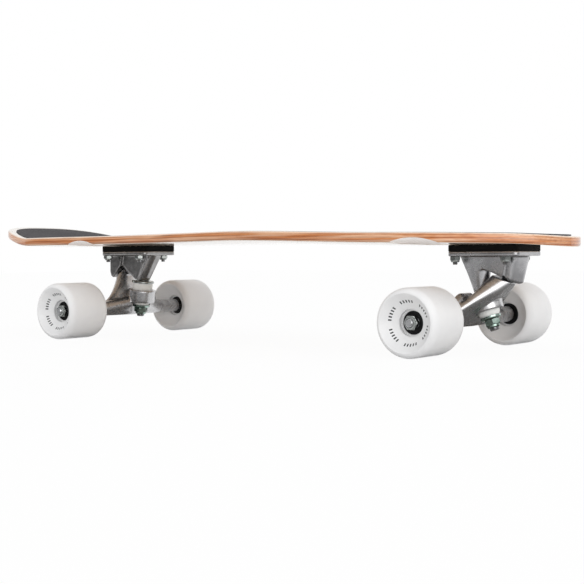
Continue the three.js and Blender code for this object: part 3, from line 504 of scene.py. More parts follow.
def plug(name, top_radius, bottom_radius, bottom, top, sides=SMALL_SIDES):
    """A straight or tapered cylinder along Z, to cut with or to melt in."""
    return turned(name, [(0, bottom), (bottom_radius, bottom), (top_radius, top), (0, top)], sides)


def dress(piece, body, finish, slot, *replaced):
    """Gives a piece its finish, the body that it rides on, and the nodes that it stands for."""
    piece.data.materials.clear()
    piece.data.materials.append(finish)
    if body:
        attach(piece, body)
    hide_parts(*replaced)
    return piece


print("melting, carving and dressing are ready")

# %% [markdown]
# ## Deck
# The real deck is seven maple veneers pressed in a mould. The mould gives it the kick at the tail and the
# concave across, and a router then gives it the outline, so the plies show all round the edge. The mesh is a
# loft along the board: each station has its own width and height, and the same rounded section.

# %% Deck sizes
WHEELBASE = 473.5 * MM
NOSE_OVERHANG = 108.5 * MM
TAIL_OVERHANG = 167.5 * MM
FRONT_DECK_HEIGHT = 103.7 * MM
REAR_DECK_HEIGHT = 107.9 * MM
DECK_HALF_WIDTH = 126 * MM
TAIL_HALF_WIDTH = 99 * MM
DECK_THICKNESS = 9.4 * MM
DECK_EDGE_ROUND = 2.6 * MM
CONCAVE_RISE = 3.2 * MM
CONCAVE_FLAT = 32 * MM
KICK_ANGLE = radians(13.2)
KICK_LENGTH = 76 * MM
KICK_BEND = 14 * MM
NOSE_DROP = 2.7 * MM
NOSE_BEND = 41 * MM
NOSE_POWER_SHARE = 2.2
TAIL_POWER_SHARE = 4.3
TAIL_ROOT_SHARE = 2.85
TIP_SHARE = 0.99995
WIDE_SETBACK = 136.5 * MM
SQUASH_ADVANCE = 36.5 * MM
SLOPE_ADVANCE = 236.5 * MM
SLOPE_SETBACK = 31.5 * MM
NOSE_X = (WHEELBASE + NOSE_OVERHANG + TAIL_OVERHANG) / 2
TAIL_X = -NOSE_X
FRONT_AXLE_X = NOSE_X - NOSE_OVERHANG
REAR_AXLE_X = TAIL_X + TAIL_OVERHANG
WIDE_X = FRONT_AXLE_X - WIDE_SETBACK
SQUASH_X = REAR_AXLE_X + SQUASH_ADVANCE
SLOPE_START = REAR_AXLE_X + SLOPE_ADVANCE
SLOPE_END = FRONT_AXLE_X - SLOPE_SETBACK
TAIL_STEPS = 44
WAIST_STEPS = 22
FRONT_STEPS = 18
NOSE_STEPS = 30
ACROSS_STEPS = 12
EDGE_STEPS = 5
print("deck length:", round((NOSE_X - TAIL_X) / MM, 1), "mm")

# %% [markdown]
# Three small functions shape the board: how wide it is, how high its underside runs, and how much it cups
# across. A power curve rounds the nose, and a steeper one squares the tail.

# %% Deck outline, rocker and concave
def half_width(x, inset=0.0):
    wide = DECK_HALF_WIDTH - inset
    tail = TAIL_HALF_WIDTH - inset
    if x > WIDE_X:
        share = min((x - WIDE_X) / (NOSE_X - inset - WIDE_X), 1) * TIP_SHARE
        return wide * sqrt(1 - share**NOSE_POWER_SHARE)
    if x > SQUASH_X:
        return mix(tail, wide, smooth((x - SQUASH_X) / (WIDE_X - SQUASH_X)))
    share = min((SQUASH_X - x) / (SQUASH_X - TAIL_X - inset), 1) * TIP_SHARE
    return tail * (1 - share**TAIL_POWER_SHARE) ** (1 / TAIL_ROOT_SHARE)


def underside(x):
    """Height of the lowest ply on the centre line."""
    level = mix(REAR_DECK_HEIGHT, FRONT_DECK_HEIGHT, smooth((x - SLOPE_START) / (SLOPE_END - SLOPE_START)))
    nose = max(0, (x - NOSE_X + NOSE_BEND) / NOSE_BEND)
    past = TAIL_X + KICK_LENGTH - x
    bend = min(max(past + KICK_BEND, 0), 2 * KICK_BEND)
    kick = bend**2 / (4 * KICK_BEND) + max(0, past - KICK_BEND)
    return level - NOSE_DROP * nose**2 + tan(KICK_ANGLE) * kick


def concave(y):
    share = max(0, abs(y) - CONCAVE_FLAT) / (DECK_HALF_WIDTH - CONCAVE_FLAT)
    return CONCAVE_RISE * share**2


def stations(inset=0.0):
    """Places along the board, closer together where the outline turns fast."""
    tail, nose, bend = TAIL_X + inset, NOSE_X - inset, NOSE_X - NOSE_BEND
    places = [mix(tail, SQUASH_X, 1 - cos(a)) for a in spread(0, pi / 2, TAIL_STEPS)[:-1]]
    places += spread(SQUASH_X, WIDE_X, WAIST_STEPS)[:-1]
    places += spread(WIDE_X, bend, FRONT_STEPS)[:-1]
    return places + [mix(bend, nose, sin(a)) for a in spread(0, pi / 2, NOSE_STEPS)]


def mirrored(x, right):
    left = [(y, z) for y, z in reversed(right[1:-1])]
    return [(x, y, z) for y, z in right] + [(x, -y, z) for y, z in left]


def board_section(x, inset, lift, thickness, edge):
    """One rounded section, from the middle of the underside round the right edge to the middle of the top."""
    half = half_width(x, inset)
    radius = min(edge, half / 2)
    inner = half - radius
    across = spread(0, inner, ACROSS_STEPS)
    base = underside(x) + lift
    low = base + concave(inner)
    turns = spread(0, pi / 2, EDGE_STEPS)
    lower = [(inner + radius * sin(a), low + radius * (1 - cos(a))) for a in turns[1:]]
    upper = [(inner + radius * cos(a), low + thickness - radius * (1 - sin(a))) for a in turns[:-1]]
    bottom = [(y, base + concave(y)) for y in across]
    top = [(y, base + concave(y) + thickness) for y in reversed(across)]
    return mirrored(x, bottom + lower + upper + top)


print("kick:", round((underside(TAIL_X) - REAR_DECK_HEIGHT) / MM, 1), "mm")

# %% [markdown]
# The wells over the wheels are scooped with a large ball, and the bolt holes are drilled and countersunk
# through the griptape and the deck together. A point's height within the seven plies is kept on the mesh for
# the finish.

# %% Build the deck
WELL_RADIUS = 55 * MM
WELL_REACH = 137 * MM
WELL_DEPTH = 4.6 * MM
WELL_SHIFTS = {"front": -2 * MM, "rear": 18 * MM}
WELL_RINGS = 64
WELL_SIDES = 96
BOLT_PITCH_LONG = 53.8 * MM
BOLT_PITCH_WIDE = 41.3 * MM
BOLT_HEAD_RADIUS = 4.7 * MM
BOLT_HEAD_HEIGHT = 2.8 * MM
BOLT_HOLE_RADIUS = 2.75 * MM
BOLT_NUMBERS = range(1, 5)
HOLE_SIDES = 32
GAP = 0.3 * MM
OVERRUN = 2 * MM
GRIP_MARGIN = 9 * MM
GRIP_LIFT = 0.02 * MM
GRIP_TOP_LIFT = 0.7 * MM
DECK_HEIGHTS = {"front": FRONT_DECK_HEIGHT, "rear": REAR_DECK_HEIGHT}
AXLES = {"front": FRONT_AXLE_X, "rear": REAR_AXLE_X}


def bolt_holes():
    holes = []
    for truck in AXLES:
        for number in BOLT_NUMBERS:
            low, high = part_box(f"{truck}_deck_bolt_{number}")
            middle, top = (low + high) / 2, high.z
            wide = BOLT_HEAD_RADIUS + GAP
            floor = top - BOLT_HEAD_HEIGHT - GAP
            deep, above = DECK_HEIGHTS[truck] - OVERRUN, top + OVERRUN
            shank = [(0, deep), (BOLT_HOLE_RADIUS, deep), (BOLT_HOLE_RADIUS, floor)]
            hole = turned("hole", shank + [(wide, top), (wide, above), (0, above)], HOLE_SIDES)
            holes.append(moved(hole, shift(middle.x, middle.y, 0)))
    return holes


def wells():
    made = []
    for truck, axle in AXLES.items():
        x = axle + WELL_SHIFTS[truck]
        for side in (-1, 1):
            y = side * half_width(x)
            z = DECK_HEIGHTS[truck] + concave(y) + WELL_DEPTH - WELL_RADIUS
            ball = turned("well", [(sin(a), -cos(a)) for a in spread(0, pi, WELL_RINGS)], WELL_SIDES)
            size = Matrix.Diagonal((WELL_RADIUS, WELL_REACH, WELL_RADIUS, 1))
            made.append(moved(ball, shift(x, y, z) @ size))
    return made


def note_plies(obj):
    """Keeps each point's share of the way up through the plies."""
    layer = obj.data.attributes.new("ply", "FLOAT", "POINT")
    for vertex, kept in zip(obj.data.vertices, layer.data):
        x, y, z = vertex.co
        kept.value = (z - underside(x) - concave(y)) / DECK_THICKNESS


deck = skin("deck_plies", [board_section(x, 0, 0, DECK_THICKNESS, DECK_EDGE_ROUND) for x in stations()])
carve(deck, wells() + bolt_holes())
note_plies(deck)
print("deck faces:", len(deck.data.polygons))

# %% [markdown]
# The grit sheet is cut a finger's width inside the deck's edge, so the pale top ply shows as a rim round it.

# %% Build the griptape
GRIP_EDGE_ROUND = 0.25 * MM
grip_loops = [
    board_section(x, GRIP_MARGIN, DECK_THICKNESS + GRIP_LIFT, GRIP_TOP_LIFT - GRIP_LIFT, GRIP_EDGE_ROUND)
    for x in stations(GRIP_MARGIN)
]
griptape = skin("griptape_sheet", grip_loops)
carve(griptape, bolt_holes())
print("griptape faces:", len(griptape.data.polygons))

# %% [markdown]
# Maple plies alternate: some lie along the board and some across it, and the ones across take stain and shade
# differently, so the sawn edge shows fine stripes. A colour ramp over the ply height draws them, and noise that
# is stretched along the board draws the grain. Pale cream patches stretched along the edge are a painted
# highlight, standing in for reflections in the coat. The downward faces in the wells are painted near white, as
# a painted reflection of the white floor.

# %% Deck and griptape finishes
PLY_STOPS = [
    (0.00, srgb(202, 144, 96)),
    (0.10, srgb(194, 125, 71)),
    (0.14, srgb(165, 93, 42)),
    (0.27, srgb(188, 112, 56)),
    (0.30, srgb(206, 129, 71)),
    (0.42, srgb(216, 138, 80)),
    (0.45, srgb(174, 100, 47)),
    (0.57, srgb(196, 119, 63)),
    (0.60, srgb(218, 142, 85)),
    (0.72, srgb(227, 156, 99)),
    (0.75, srgb(192, 118, 63)),
    (0.86, srgb(204, 135, 81)),
    (0.89, srgb(238, 208, 182)),
    (1.00, srgb(240, 226, 212)),
]
# Each noise: how it is stretched, its detail and its roughness.
MAPLE_NOISES = {
    "drift": ((6, 40, 40), 3, 0.5),
    "painted_sheen": ((11, 11, 330), 2, 0.5),
    "grain": ((14, 260, 900), 6, 0.6),
    "sap": ((16, 16, 620), 2, 0.5),
    "veneer": ((5, 120, 30), 5, 0.6),
}
NOISE_MIDDLE = 0.5
DRIFT_SHARE = 0.05
# Painted highlight: the sheen noise lays pale cream patches along the edge, standing in for reflections in the
# coat.
PAINTED_SHEEN_STOPS = [(0.46, BLACK), (0.64, SOFT_WHITE)]
PAINTED_SHEEN_COLOUR = srgb(250, 212, 178)
PAINTED_SHEEN_SHARE = 0.6
STREAK_STOPS = [(0.3, srgb(196, 152, 122)), (0.6, SOFT_WHITE)]
STREAK_SHARE = 0.5
SAP_STOPS = [(0.62, BLACK), (0.7, SOFT_WHITE)]
SAP_COLOUR = srgb(140, 86, 52)
SAP_SHARE = 0.6
# The underside veneer: partly maple's own pale colour, and partly painted light, lightened to stand in for
# light from below.
BOTTOM_STOPS = [(0.35, srgb(226, 200, 174)), (0.65, srgb(242, 222, 200))]
TOP_STOPS = [(0.35, srgb(226, 216, 204)), (0.65, srgb(240, 234, 226))]
# Painted reflection: the downward faces in the wells are painted near white, standing in for the white floor
# mirrored in the coat.
WELL_PAINTED_REFLECTION_COLOUR = srgb(253, 243, 236)
PAINTED_REFLECTION_MAPLE_SHARE = 0.14
SCOOP_SLOPE = -0.8
BOTTOM_PLY_SHARE = 0.03
TOP_PLY_SHARE = 0.985
GRAIN_BUMP = (0.05, 0.05 * MM)
GRIT_STOPS = [(0.4, srgb(50, 48, 50)), (0.62, srgb(88, 85, 88))]
GRIT_SCALES = {"coarse": (900, 3), "fine": (2600, 2), "worn": (14, 3)}
GRIT_SHARES = {"coarse": 0.5, "fine": 0.3, "worn": 0.2}
GRIT_BUMP = (0.6, 0.25 * MM)


def maple_noise(finish, kind):
    stretch, detail, roughness = MAPLE_NOISES[kind]
    return finish.noise(finish.stretched(stretch), 1, detail, roughness)


def maple_finish():
    finish = Finish("maple plies", Roughness=0.4, Coat_Weight=1.0, Coat_Roughness=0.03)
    ply = finish.attribute("ply")
    plies = finish.ramp(ply + (maple_noise(finish, "drift") - NOISE_MIDDLE) * DRIFT_SHARE, PLY_STOPS)
    # Painted highlight: pale cream patches stand in for reflections in the coat.
    painted_sheen = finish.ramp(maple_noise(finish, "painted_sheen"), PAINTED_SHEEN_STOPS)
    plies_with_painted_sheen = finish.mix(painted_sheen * PAINTED_SHEEN_SHARE, plies, PAINTED_SHEEN_COLOUR)
    grain = maple_noise(finish, "grain")
    coloured = finish.mix(STREAK_SHARE, plies_with_painted_sheen, finish.ramp(grain, STREAK_STOPS), "MULTIPLY")
    sap = finish.ramp(maple_noise(finish, "sap"), SAP_STOPS)
    marked = finish.mix(sap * SAP_SHARE, coloured, SAP_COLOUR)
    veneer = maple_noise(finish, "veneer")
    normal = finish.node("ShaderNodeNewGeometry", output="Normal")
    upward = finish.node("ShaderNodeSeparateXYZ", {}, {0: normal}, "Z")
    # Painted reflection of the white floor, laid on faces in the wells that point down.
    painted_floor_reflection = finish.mix(PAINTED_REFLECTION_MAPLE_SHARE, WELL_PAINTED_REFLECTION_COLOUR, marked)
    edge = finish.mix((upward < SCOOP_SLOPE) * (ply > BOTTOM_PLY_SHARE), marked, painted_floor_reflection)
    # The underside takes the pale veneer ramp, which is partly painted light from below.
    faced = finish.mix(ply < BOTTOM_PLY_SHARE, edge, finish.ramp(veneer, BOTTOM_STOPS))
    finish.vary("Base Color", finish.mix(ply > TOP_PLY_SHARE, faced, finish.ramp(veneer, TOP_STOPS)))
    finish.bump(grain, *GRAIN_BUMP)
    return finish.material


def grit_finish():
    finish = Finish("griptape grit", Roughness=0.92)
    grit = {kind: finish.noise(finish.place(), *scale) for kind, scale in GRIT_SCALES.items()}
    coarse, fine, worn = (grit[kind] * share for kind, share in GRIT_SHARES.items())
    finish.vary("Base Color", finish.ramp(coarse + fine + worn, GRIT_STOPS))
    finish.bump(grit["coarse"], *GRIT_BUMP)
    return finish.material


dress(deck, "board", maple_finish(), "maple", "deck")
dress(griptape, "board", grit_finish(), "griptape", "griptape")
print("deck and griptape are finished")

# %% [markdown]
# ## Wheels
# The wheels are cast urethane, 65 mm across and 57 mm wide. Each face is dished down to the bearing, and the
# tread meets it over a generous round. The profile is turned about the axle.

# %% Wheel sizes and profile
WHEEL_RADIUS = 32.5 * MM
WHEEL_HALF = 28.5 * MM
WHEEL_LIP_RADIUS = 27 * MM
WHEEL_SHOULDER = 9 * MM
WHEEL_BOWL_RADIUS = 20.5 * MM
WHEEL_BOWL_DEPTH = 8.6 * MM
WHEEL_MOUTH_RADIUS = 12.7 * MM
WHEEL_MOUTH_DEPTH = 11.6 * MM
WHEEL_CORE_RADIUS = 8.6 * MM
BEARING_RADIUS = 11 * MM
BEARING_WIDTH = 7 * MM
BEARING_SPACING = 10 * MM
BEARING_FACE = BEARING_SPACING / 2 + BEARING_WIDTH
SEAT_GAP = 0.05 * MM
MOUTH_ROUND = 0.6 * MM
LIP_ROUND = 1.6 * MM
LIP_REACH_SHARE = 0.7
LIP_DEPTH_SHARE = 0.9
BOWL_STEPS = 12
SHOULDER_STEPS = 24
WHEEL_SIDES = 128
SIDES = ("left", "right")


def wheel_side():
    """Half of the profile, from the bearing seat out to the middle of the tread."""
    seat, step = BEARING_RADIUS + SEAT_GAP, BEARING_FACE + GAP
    mouth = WHEEL_HALF - WHEEL_MOUTH_DEPTH
    start = Vector((WHEEL_MOUTH_RADIUS + MOUTH_ROUND, mouth))
    knee = Vector((WHEEL_BOWL_RADIUS, WHEEL_HALF - WHEEL_BOWL_DEPTH))
    lip = Vector((WHEEL_LIP_RADIUS - LIP_ROUND * LIP_REACH_SHARE, WHEEL_HALF - LIP_ROUND * LIP_DEPTH_SHARE))
    points = [(WHEEL_CORE_RADIUS, BEARING_SPACING / 2), (seat, BEARING_SPACING / 2), (seat, step)]
    points += [(WHEEL_MOUTH_RADIUS, step), (WHEEL_MOUTH_RADIUS, mouth - MOUTH_ROUND), tuple(start)]
    for share in spread(0, 1, BOWL_STEPS)[1:]:
        points.append(tuple(start.lerp(knee, share).lerp(knee.lerp(lip, share), share)))
    for angle in spread(0, pi / 2, SHOULDER_STEPS)[1:]:
        radius = mix(WHEEL_LIP_RADIUS, WHEEL_RADIUS, sin(angle))
        points.append((radius, WHEEL_HALF - WHEEL_SHOULDER * (1 - cos(angle))))
    return points


outer_side = wheel_side()
wheel_profile = outer_side + flipped(outer_side)
print("wheel profile points:", len(wheel_profile))

# %% [markdown]
# Cast urethane is a little mottled and takes a soft shine. A ring of short marks is printed on each outer
# face. An image would do for them, but sums on the place on the wheel draw them sharp at any distance. Each
# wheel keeps its own origin, so that one finish fits both wheels of a side.

# %% Wheel finish
MARK_RING_RADIUS = 20 * MM
MARK_RING_HALF = 1.25 * MM
MARK_COUNT = 42
MARK_GROUPS = 6
MARK_WIDTH_SHARE = 0.45
GROUP_GAP_SHARE = 0.28
MARK_COLOUR = srgb(34, 36, 38)
URETHANE_STOPS = [(0.3, srgb(232, 232, 233)), (0.7, srgb(240, 240, 240))]
MOTTLE = (30, 3)
SMEAR = (90, 4)
PEEL = (400, 3)
SMEAR_SHARE = 0.16
SMEAR_ROUGHNESS = 0.34
PEEL_BUMP = (0.08, 0.1 * MM)


def urethane_finish(side):
    """The marks are printed on the outer face alone, which is the left one on a left wheel."""
    outward = 1 if side == "left" else -1
    finish = Finish(f"white urethane {side}")
    place = finish.place()
    x, y, z = (finish.node("ShaderNodeSeparateXYZ", {}, {0: place}, axis) for axis in "XYZ")
    radius = finish.maths("SQRT", x * x + z * z)
    turn = finish.maths("ARCTAN2", z, x) / (2 * pi) + 0.5
    tick = finish.maths("FRACT", turn * MARK_COUNT)
    sector = finish.maths("FRACT", turn * MARK_GROUPS)
    on_ring = finish.maths("ABSOLUTE", radius - MARK_RING_RADIUS) < MARK_RING_HALF
    mark = on_ring * (tick < MARK_WIDTH_SHARE) * (sector > GROUP_GAP_SHARE) * (y * outward > BEARING_FACE)
    body = finish.ramp(finish.noise(place, *MOTTLE), URETHANE_STOPS)
    finish.vary("Base Color", finish.mix(mark, body, MARK_COLOUR))
    finish.vary("Roughness", finish.noise(place, *SMEAR) * SMEAR_SHARE + SMEAR_ROUGHNESS)
    finish.bump(finish.noise(place, *PEEL), *PEEL_BUMP)
    return finish.material


urethane = {side: urethane_finish(side) for side in SIDES}
print("wheel finish is ready")

# %% [markdown]
# ## Bearings, washers and axles
# A 608 bearing is two steel rings with a rubber shield between them. One turned ring takes three finishes,
# chosen by how far out each face lies. The outer steel ring is painted near black, as painted shade deep in the
# wheel's recess.

# %% Metal finishes
BROAD_NOISE = (22, 3)
METAL_DRIFT_SHARE = 0.4
METAL_BROAD_SHARE = 0.6
METAL_STOP_SHARES = (0.36, 0.62)
METAL_ROUGHNESS_SWING = 0.14
METAL_DETAIL = 4
METAL_BUMP = (0.12, 0.05 * MM)
# Each metal: its colour, its darker patches, its roughness and the scale of its grain.
METALS = {
    "bright steel": ((205, 206, 208), (170, 171, 174), 0.22, 220),
    "zinc plate": ((196, 200, 198), (150, 155, 152), 0.2, 180),
    "green zinc plate": ((196, 214, 206), (122, 146, 136), 0.18, 180),
    "polished hanger alloy": ((212, 212, 213), (186, 186, 188), 0.27, 120),
    "front casting alloy": ((196, 196, 198), (168, 168, 170), 0.26, 140),
    "rear casting alloy": ((180, 179, 179), (140, 139, 139), 0.25, 140),
    # Painted shade: a near-black steel for the outer bearing race, standing in for the shadow in the wheel's
    # recess.
    "painted shade race": ((52, 52, 54), (34, 34, 36), 0.3, 220),
}
RUBBER_NOISE = (300, 4)
RUBBER_LIGHTER_SHARE = 1.5
RUBBER_LIGHTER_STEP = 0.004
RUBBER_ROUGHNESS_SWING = 0.2
RUBBER_BUMP = (0.2, 0.08 * MM)
# Each rubber or plastic: its colour, its roughness and how strongly it mirrors.
RUBBERS = {
    "bearing shield": ((14, 14, 15), 0.5, 0.3),
    "riser rubber": ((10, 10, 9), 0.7, 0.12),
    "pivot cup": ((26, 26, 27), 0.55, 0.5),
    "pale bushing": ((222, 223, 218), 0.4, 0.5),
}


def metal_finish(name, colour, dark, rough, grain):
    """Bare metal: the colour drifts a little, and the roughness varies as casting and handling leave it."""
    finish = Finish(name, Metallic=1.0)
    drift = finish.noise(finish.place(), grain, METAL_DETAIL)
    tone = drift * METAL_DRIFT_SHARE + finish.noise(finish.place(), *BROAD_NOISE) * METAL_BROAD_SHARE
    finish.vary("Base Color", finish.ramp(tone, list(zip(METAL_STOP_SHARES, (srgb(*dark), srgb(*colour))))))
    finish.vary("Roughness", drift * METAL_ROUGHNESS_SWING + (rough - METAL_ROUGHNESS_SWING / 2))
    finish.bump(drift, *METAL_BUMP)
    return finish.material


def rubber_finish(name, colour, rough, gloss):
    finish = Finish(name)
    finish.vary("Specular IOR Level", gloss)
    drift = finish.noise(finish.place(), *RUBBER_NOISE)
    plain = srgb(*colour)
    lighter = tuple(min(1, value * RUBBER_LIGHTER_SHARE + RUBBER_LIGHTER_STEP) for value in plain[:3]) + (1,)
    finish.vary("Base Color", finish.mix(drift, plain, lighter))
    finish.vary("Roughness", drift * RUBBER_ROUGHNESS_SWING + (rough - RUBBER_ROUGHNESS_SWING / 2))
    finish.bump(drift, *RUBBER_BUMP)
    return finish.material


metals = [metal_finish(name, *look) for name, look in METALS.items()]
steel, zinc, green_zinc, hanger_alloy, front_alloy, rear_alloy, painted_shade_race = metals
rubbers = [rubber_finish(name, *look) for name, look in RUBBERS.items()]
shield, riser_rubber, cup_plastic, pale_bushing = rubbers
print("metal finishes:", len(metals), "rubber and plastic finishes:", len(rubbers))

# %% [markdown]
# A thread is cut into its shaft as loops whose radius follows a saw wave. A lock nut is a hexagon with its
# corners turned off and a round collar for the locking ring.

# %% Threads and lock nuts
THREAD_SIDES = 40
THREAD_LOOPS_PER_TURN = 6
THREAD_RUN_OUT = 0.3 * MM
NUT_SIDES = 72
NUT_EDGE_SHARE = 0.96
NUT_SLOPE_SHARE = 0.5
NUT_SHOULDER_SHARE = 0.16
NUT_LEVEL_SHARES = [0, 0.12, 0.25, 0.4, 0.6, 0.8, 1]
COLLAR_FOOT_SHARE = 0.45
COLLAR_WAIST_SHARE = 0.44
COLLAR_TOP_SHARE = 0.41
COLLAR_ROUND = 0.5 * MM
NUT_TOP_CHAMFER = 0.5 * MM
NUT_TOP_CHAMFER_DEPTH = 0.6 * MM
NUT_FOOT_CHAMFER = 0.4 * MM
NUT_FOOT_CHAMFER_DEPTH = 0.3 * MM


def thread_section(radius, depth, height, pitch):
    """One loop of a screw thread: the radius follows a saw wave that climbs as it goes round."""
    loop = []
    for n, angle in enumerate(round_angles(THREAD_SIDES)):
        wave = abs(2 * ((height / pitch - n / THREAD_SIDES) % 1) - 1)
        cut = radius - depth * wave
        loop.append((cut * cos(angle), cut * sin(angle), height))
    return loop


def threaded_loops(radius, bottom, plain_from, pitch, depth, chamfer):
    """A shaft along Z, from its chamfered end up through its thread to where it is plain."""
    start = bottom + chamfer
    steps = round((plain_from - start) / (pitch / THREAD_LOOPS_PER_TURN))
    loops = [circle(0, bottom, THREAD_SIDES), circle(radius - chamfer, bottom, THREAD_SIDES)]
    loops += [thread_section(radius, depth, height, pitch) for height in spread(start, plain_from, steps)]
    return loops + [circle(radius, plain_from + THREAD_RUN_OUT, THREAD_SIDES)]


def threaded(name, radius, bottom, top, plain_from, depth):
    loops = threaded_loops(radius, bottom, plain_from, THREAD_PITCH, depth, THREAD_CHAMFER)
    return skin(name, loops + [circle(radius, top, THREAD_SIDES), circle(0, top, THREAD_SIDES)])


def hex_radius(angle, flats):
    return flats / 2 / cos((angle % (pi / 3)) - pi / 6)


def lock_nut(name, flats, height, collar, bore):
    """It hangs down from its seat at the origin, hexagon first."""
    angles = round_angles(NUT_SIDES)
    hexagon = height - collar

    def cut(level):
        limit = flats / 2 * NUT_EDGE_SHARE + min(level, hexagon - level) / NUT_SLOPE_SHARE
        loop = [min(hex_radius(a, flats), limit) for a in angles]
        return [(r * cos(a), r * sin(a), -level) for a, r in zip(angles, loop)]

    shoulder = flats * NUT_SHOULDER_SHARE
    loops = [cut(shoulder * share) for share in NUT_LEVEL_SHARES]
    loops += [cut(hexagon - shoulder * share) for share in reversed(NUT_LEVEL_SHARES)]
    rings = [
        (flats * COLLAR_FOOT_SHARE, hexagon),
        (flats * COLLAR_WAIST_SHARE, height - COLLAR_ROUND),
        (flats * COLLAR_TOP_SHARE, height),
        (bore + NUT_TOP_CHAMFER, height),
        (bore, height - NUT_TOP_CHAMFER_DEPTH),
        (bore, NUT_FOOT_CHAMFER_DEPTH),
        (bore + NUT_FOOT_CHAMFER, 0),
    ]
    return skin(name, loops + [circle(radius, -level, NUT_SIDES) for radius, level in rings], ring=True)


print("threads and nuts are ready")

# %% [markdown]
# Each wheel's pieces are built on the axle's line. A turned piece stands along Z, so one quarter turn lays it
# along Y.

# %% Build wheels, bearings, washers and nuts
LAY_ALONG_Y = spin(-pi / 2, "X")
AXLE_RADIUS = 4 * MM
RACE_WIDTH = 2.1 * MM
OUTER_RACE_SHARE = 0.8
SHIELD_DEPTH = 0.5 * MM
SHIELD_STEP = 0.3 * MM
SHIELD_CROWN = 0.1 * MM
BEARING_CHAMFER = 0.4 * MM


def bearing_mesh(name):
    half = BEARING_WIDTH / 2
    inner, outer = AXLE_RADIUS + SEAT_GAP, BEARING_RADIUS
    hub, race = inner + RACE_WIDTH, outer - RACE_WIDTH * OUTER_RACE_SHARE
    deep, low = half - SHIELD_DEPTH, half - BEARING_CHAMFER
    crown = deep + SHIELD_CROWN
    up = [(inner, low), (inner + BEARING_CHAMFER, half), (hub, half), (hub, deep)]
    up += [(hub + SHIELD_STEP, crown), (race - SHIELD_STEP, crown), (race, deep), (race, half)]
    up += [(outer - BEARING_CHAMFER, half), (outer, low)]
    made = turned(name, up + flipped(up), ring=True)
    # The outer race takes the near-black finish, which is painted shade and not the steel's own colour.
    for finish in (steel, shield, painted_shade_race):
        made.data.materials.append(finish)
    for polygon in made.data.polygons:
        middle = Vector((polygon.center.x, polygon.center.y)).length
        polygon.material_index = (middle > hub) + (middle > race)
    return made


def node_centre(name):
    low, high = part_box(name)
    return (low + high) / 2


def build_wheel(truck, side):
    label = f"{truck}_{side}"
    body = f"{label}_roller"
    centre = node_centre(f"{label}_wheel")
    wheel = moved(turned(f"{label}_wheel_tyre", wheel_profile, WHEEL_SIDES, ring=True), LAY_ALONG_Y)
    wheel.location = centre
    dress(wheel, body, urethane[side], "wheel_urethane", f"{label}_wheel")
    for place in ("inner", "outer"):
        node = f"{label}_{place}_bearing"
        bearing = moved(bearing_mesh(f"{node}_race"), Matrix.Translation(node_centre(node)) @ LAY_ALONG_Y)
        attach(bearing, body)
        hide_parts(node)


for truck in AXLES:
    for side in SIDES:
        build_wheel(truck, side)
print("wheels and bearings are built")

# %% [markdown]
# The axle is one rod with a thread at each end, so it is made as two equal halves. A washer and a lock nut
# hold each wheel.

# %% Build axles, washers and axle nuts
AXLE_NUT_FLATS = 12.7 * MM
AXLE_NUT_HEIGHT = 6.4 * MM
AXLE_NUT_COLLAR = 1.8 * MM
AXLE_THREAD_LENGTH = 12 * MM
AXLE_THREAD_DEPTH = 0.4 * MM
THREAD_PITCH = 1.06 * MM
THREAD_CHAMFER = 0.7 * MM
WASHER_RADIUS = 5.9 * MM
WASHER_THICKNESS = 0.9 * MM
WASHER_BEVEL = 0.15 * MM


def build_axle(truck):
    low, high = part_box(f"{truck}_axle")
    half = (high.y - low.y) / 2
    centre = node_centre(f"{truck}_axle")
    thread_end = AXLE_THREAD_LENGTH - half
    halves = [threaded("half", AXLE_RADIUS, -half, 0, thread_end, AXLE_THREAD_DEPTH) for _ in SIDES]
    moved(halves[1], spin(pi, "X"))
    axle = moved(clean(join(f"{truck}_axle_rod", halves)), Matrix.Translation(centre) @ LAY_ALONG_Y)
    dress(axle, f"{truck}_truck", steel, "steel", f"{truck}_axle")


def build_axle_end(truck, side):
    label = f"{truck}_{side}"
    body = f"{truck}_truck"
    outward = 1 if side == "left" else -1
    bore, half = AXLE_RADIUS + SEAT_GAP, WASHER_THICKNESS / 2
    low, wide = half - WASHER_BEVEL, WASHER_RADIUS - WASHER_BEVEL
    rim = [(bore, low), (bore + WASHER_BEVEL, half), (wide, half), (WASHER_RADIUS, low)]
    washer = turned(f"{label}_speed_washer_ring", rim + flipped(rim), SMALL_SIDES, ring=True)
    moved(washer, Matrix.Translation(node_centre(f"{label}_speed_washer")) @ LAY_ALONG_Y)
    dress(washer, body, steel, "steel", f"{label}_speed_washer")
    low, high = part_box(f"{label}_axle_nut")
    seat = Vector(((low.x + high.x) / 2, low.y if outward > 0 else high.y, (low.z + high.z) / 2))
    nut = lock_nut(f"{label}_axle_nut_hex", AXLE_NUT_FLATS, AXLE_NUT_HEIGHT, AXLE_NUT_COLLAR, bore)
    moved(nut, Matrix.Translation(seat) @ spin(outward * pi / 2, "X"))
    dress(nut, body, zinc, "zinc_steel", f"{label}_axle_nut")


for truck in AXLES:
    build_axle(truck)
    for side in SIDES:
        build_axle_end(truck, side)
print("axles are built")

# %% [markdown]
# ## Trucks
# Each truck is described from its axle's centre, with x towards the end of the board and z up. The same
# numbers place the kingpin, the steering axis and the castings, and one matrix turns the rear truck round to
# face the tail.

# %% Truck sizes
def in_mm(**lengths):
    return {name: length * MM for name, length in lengths.items()}


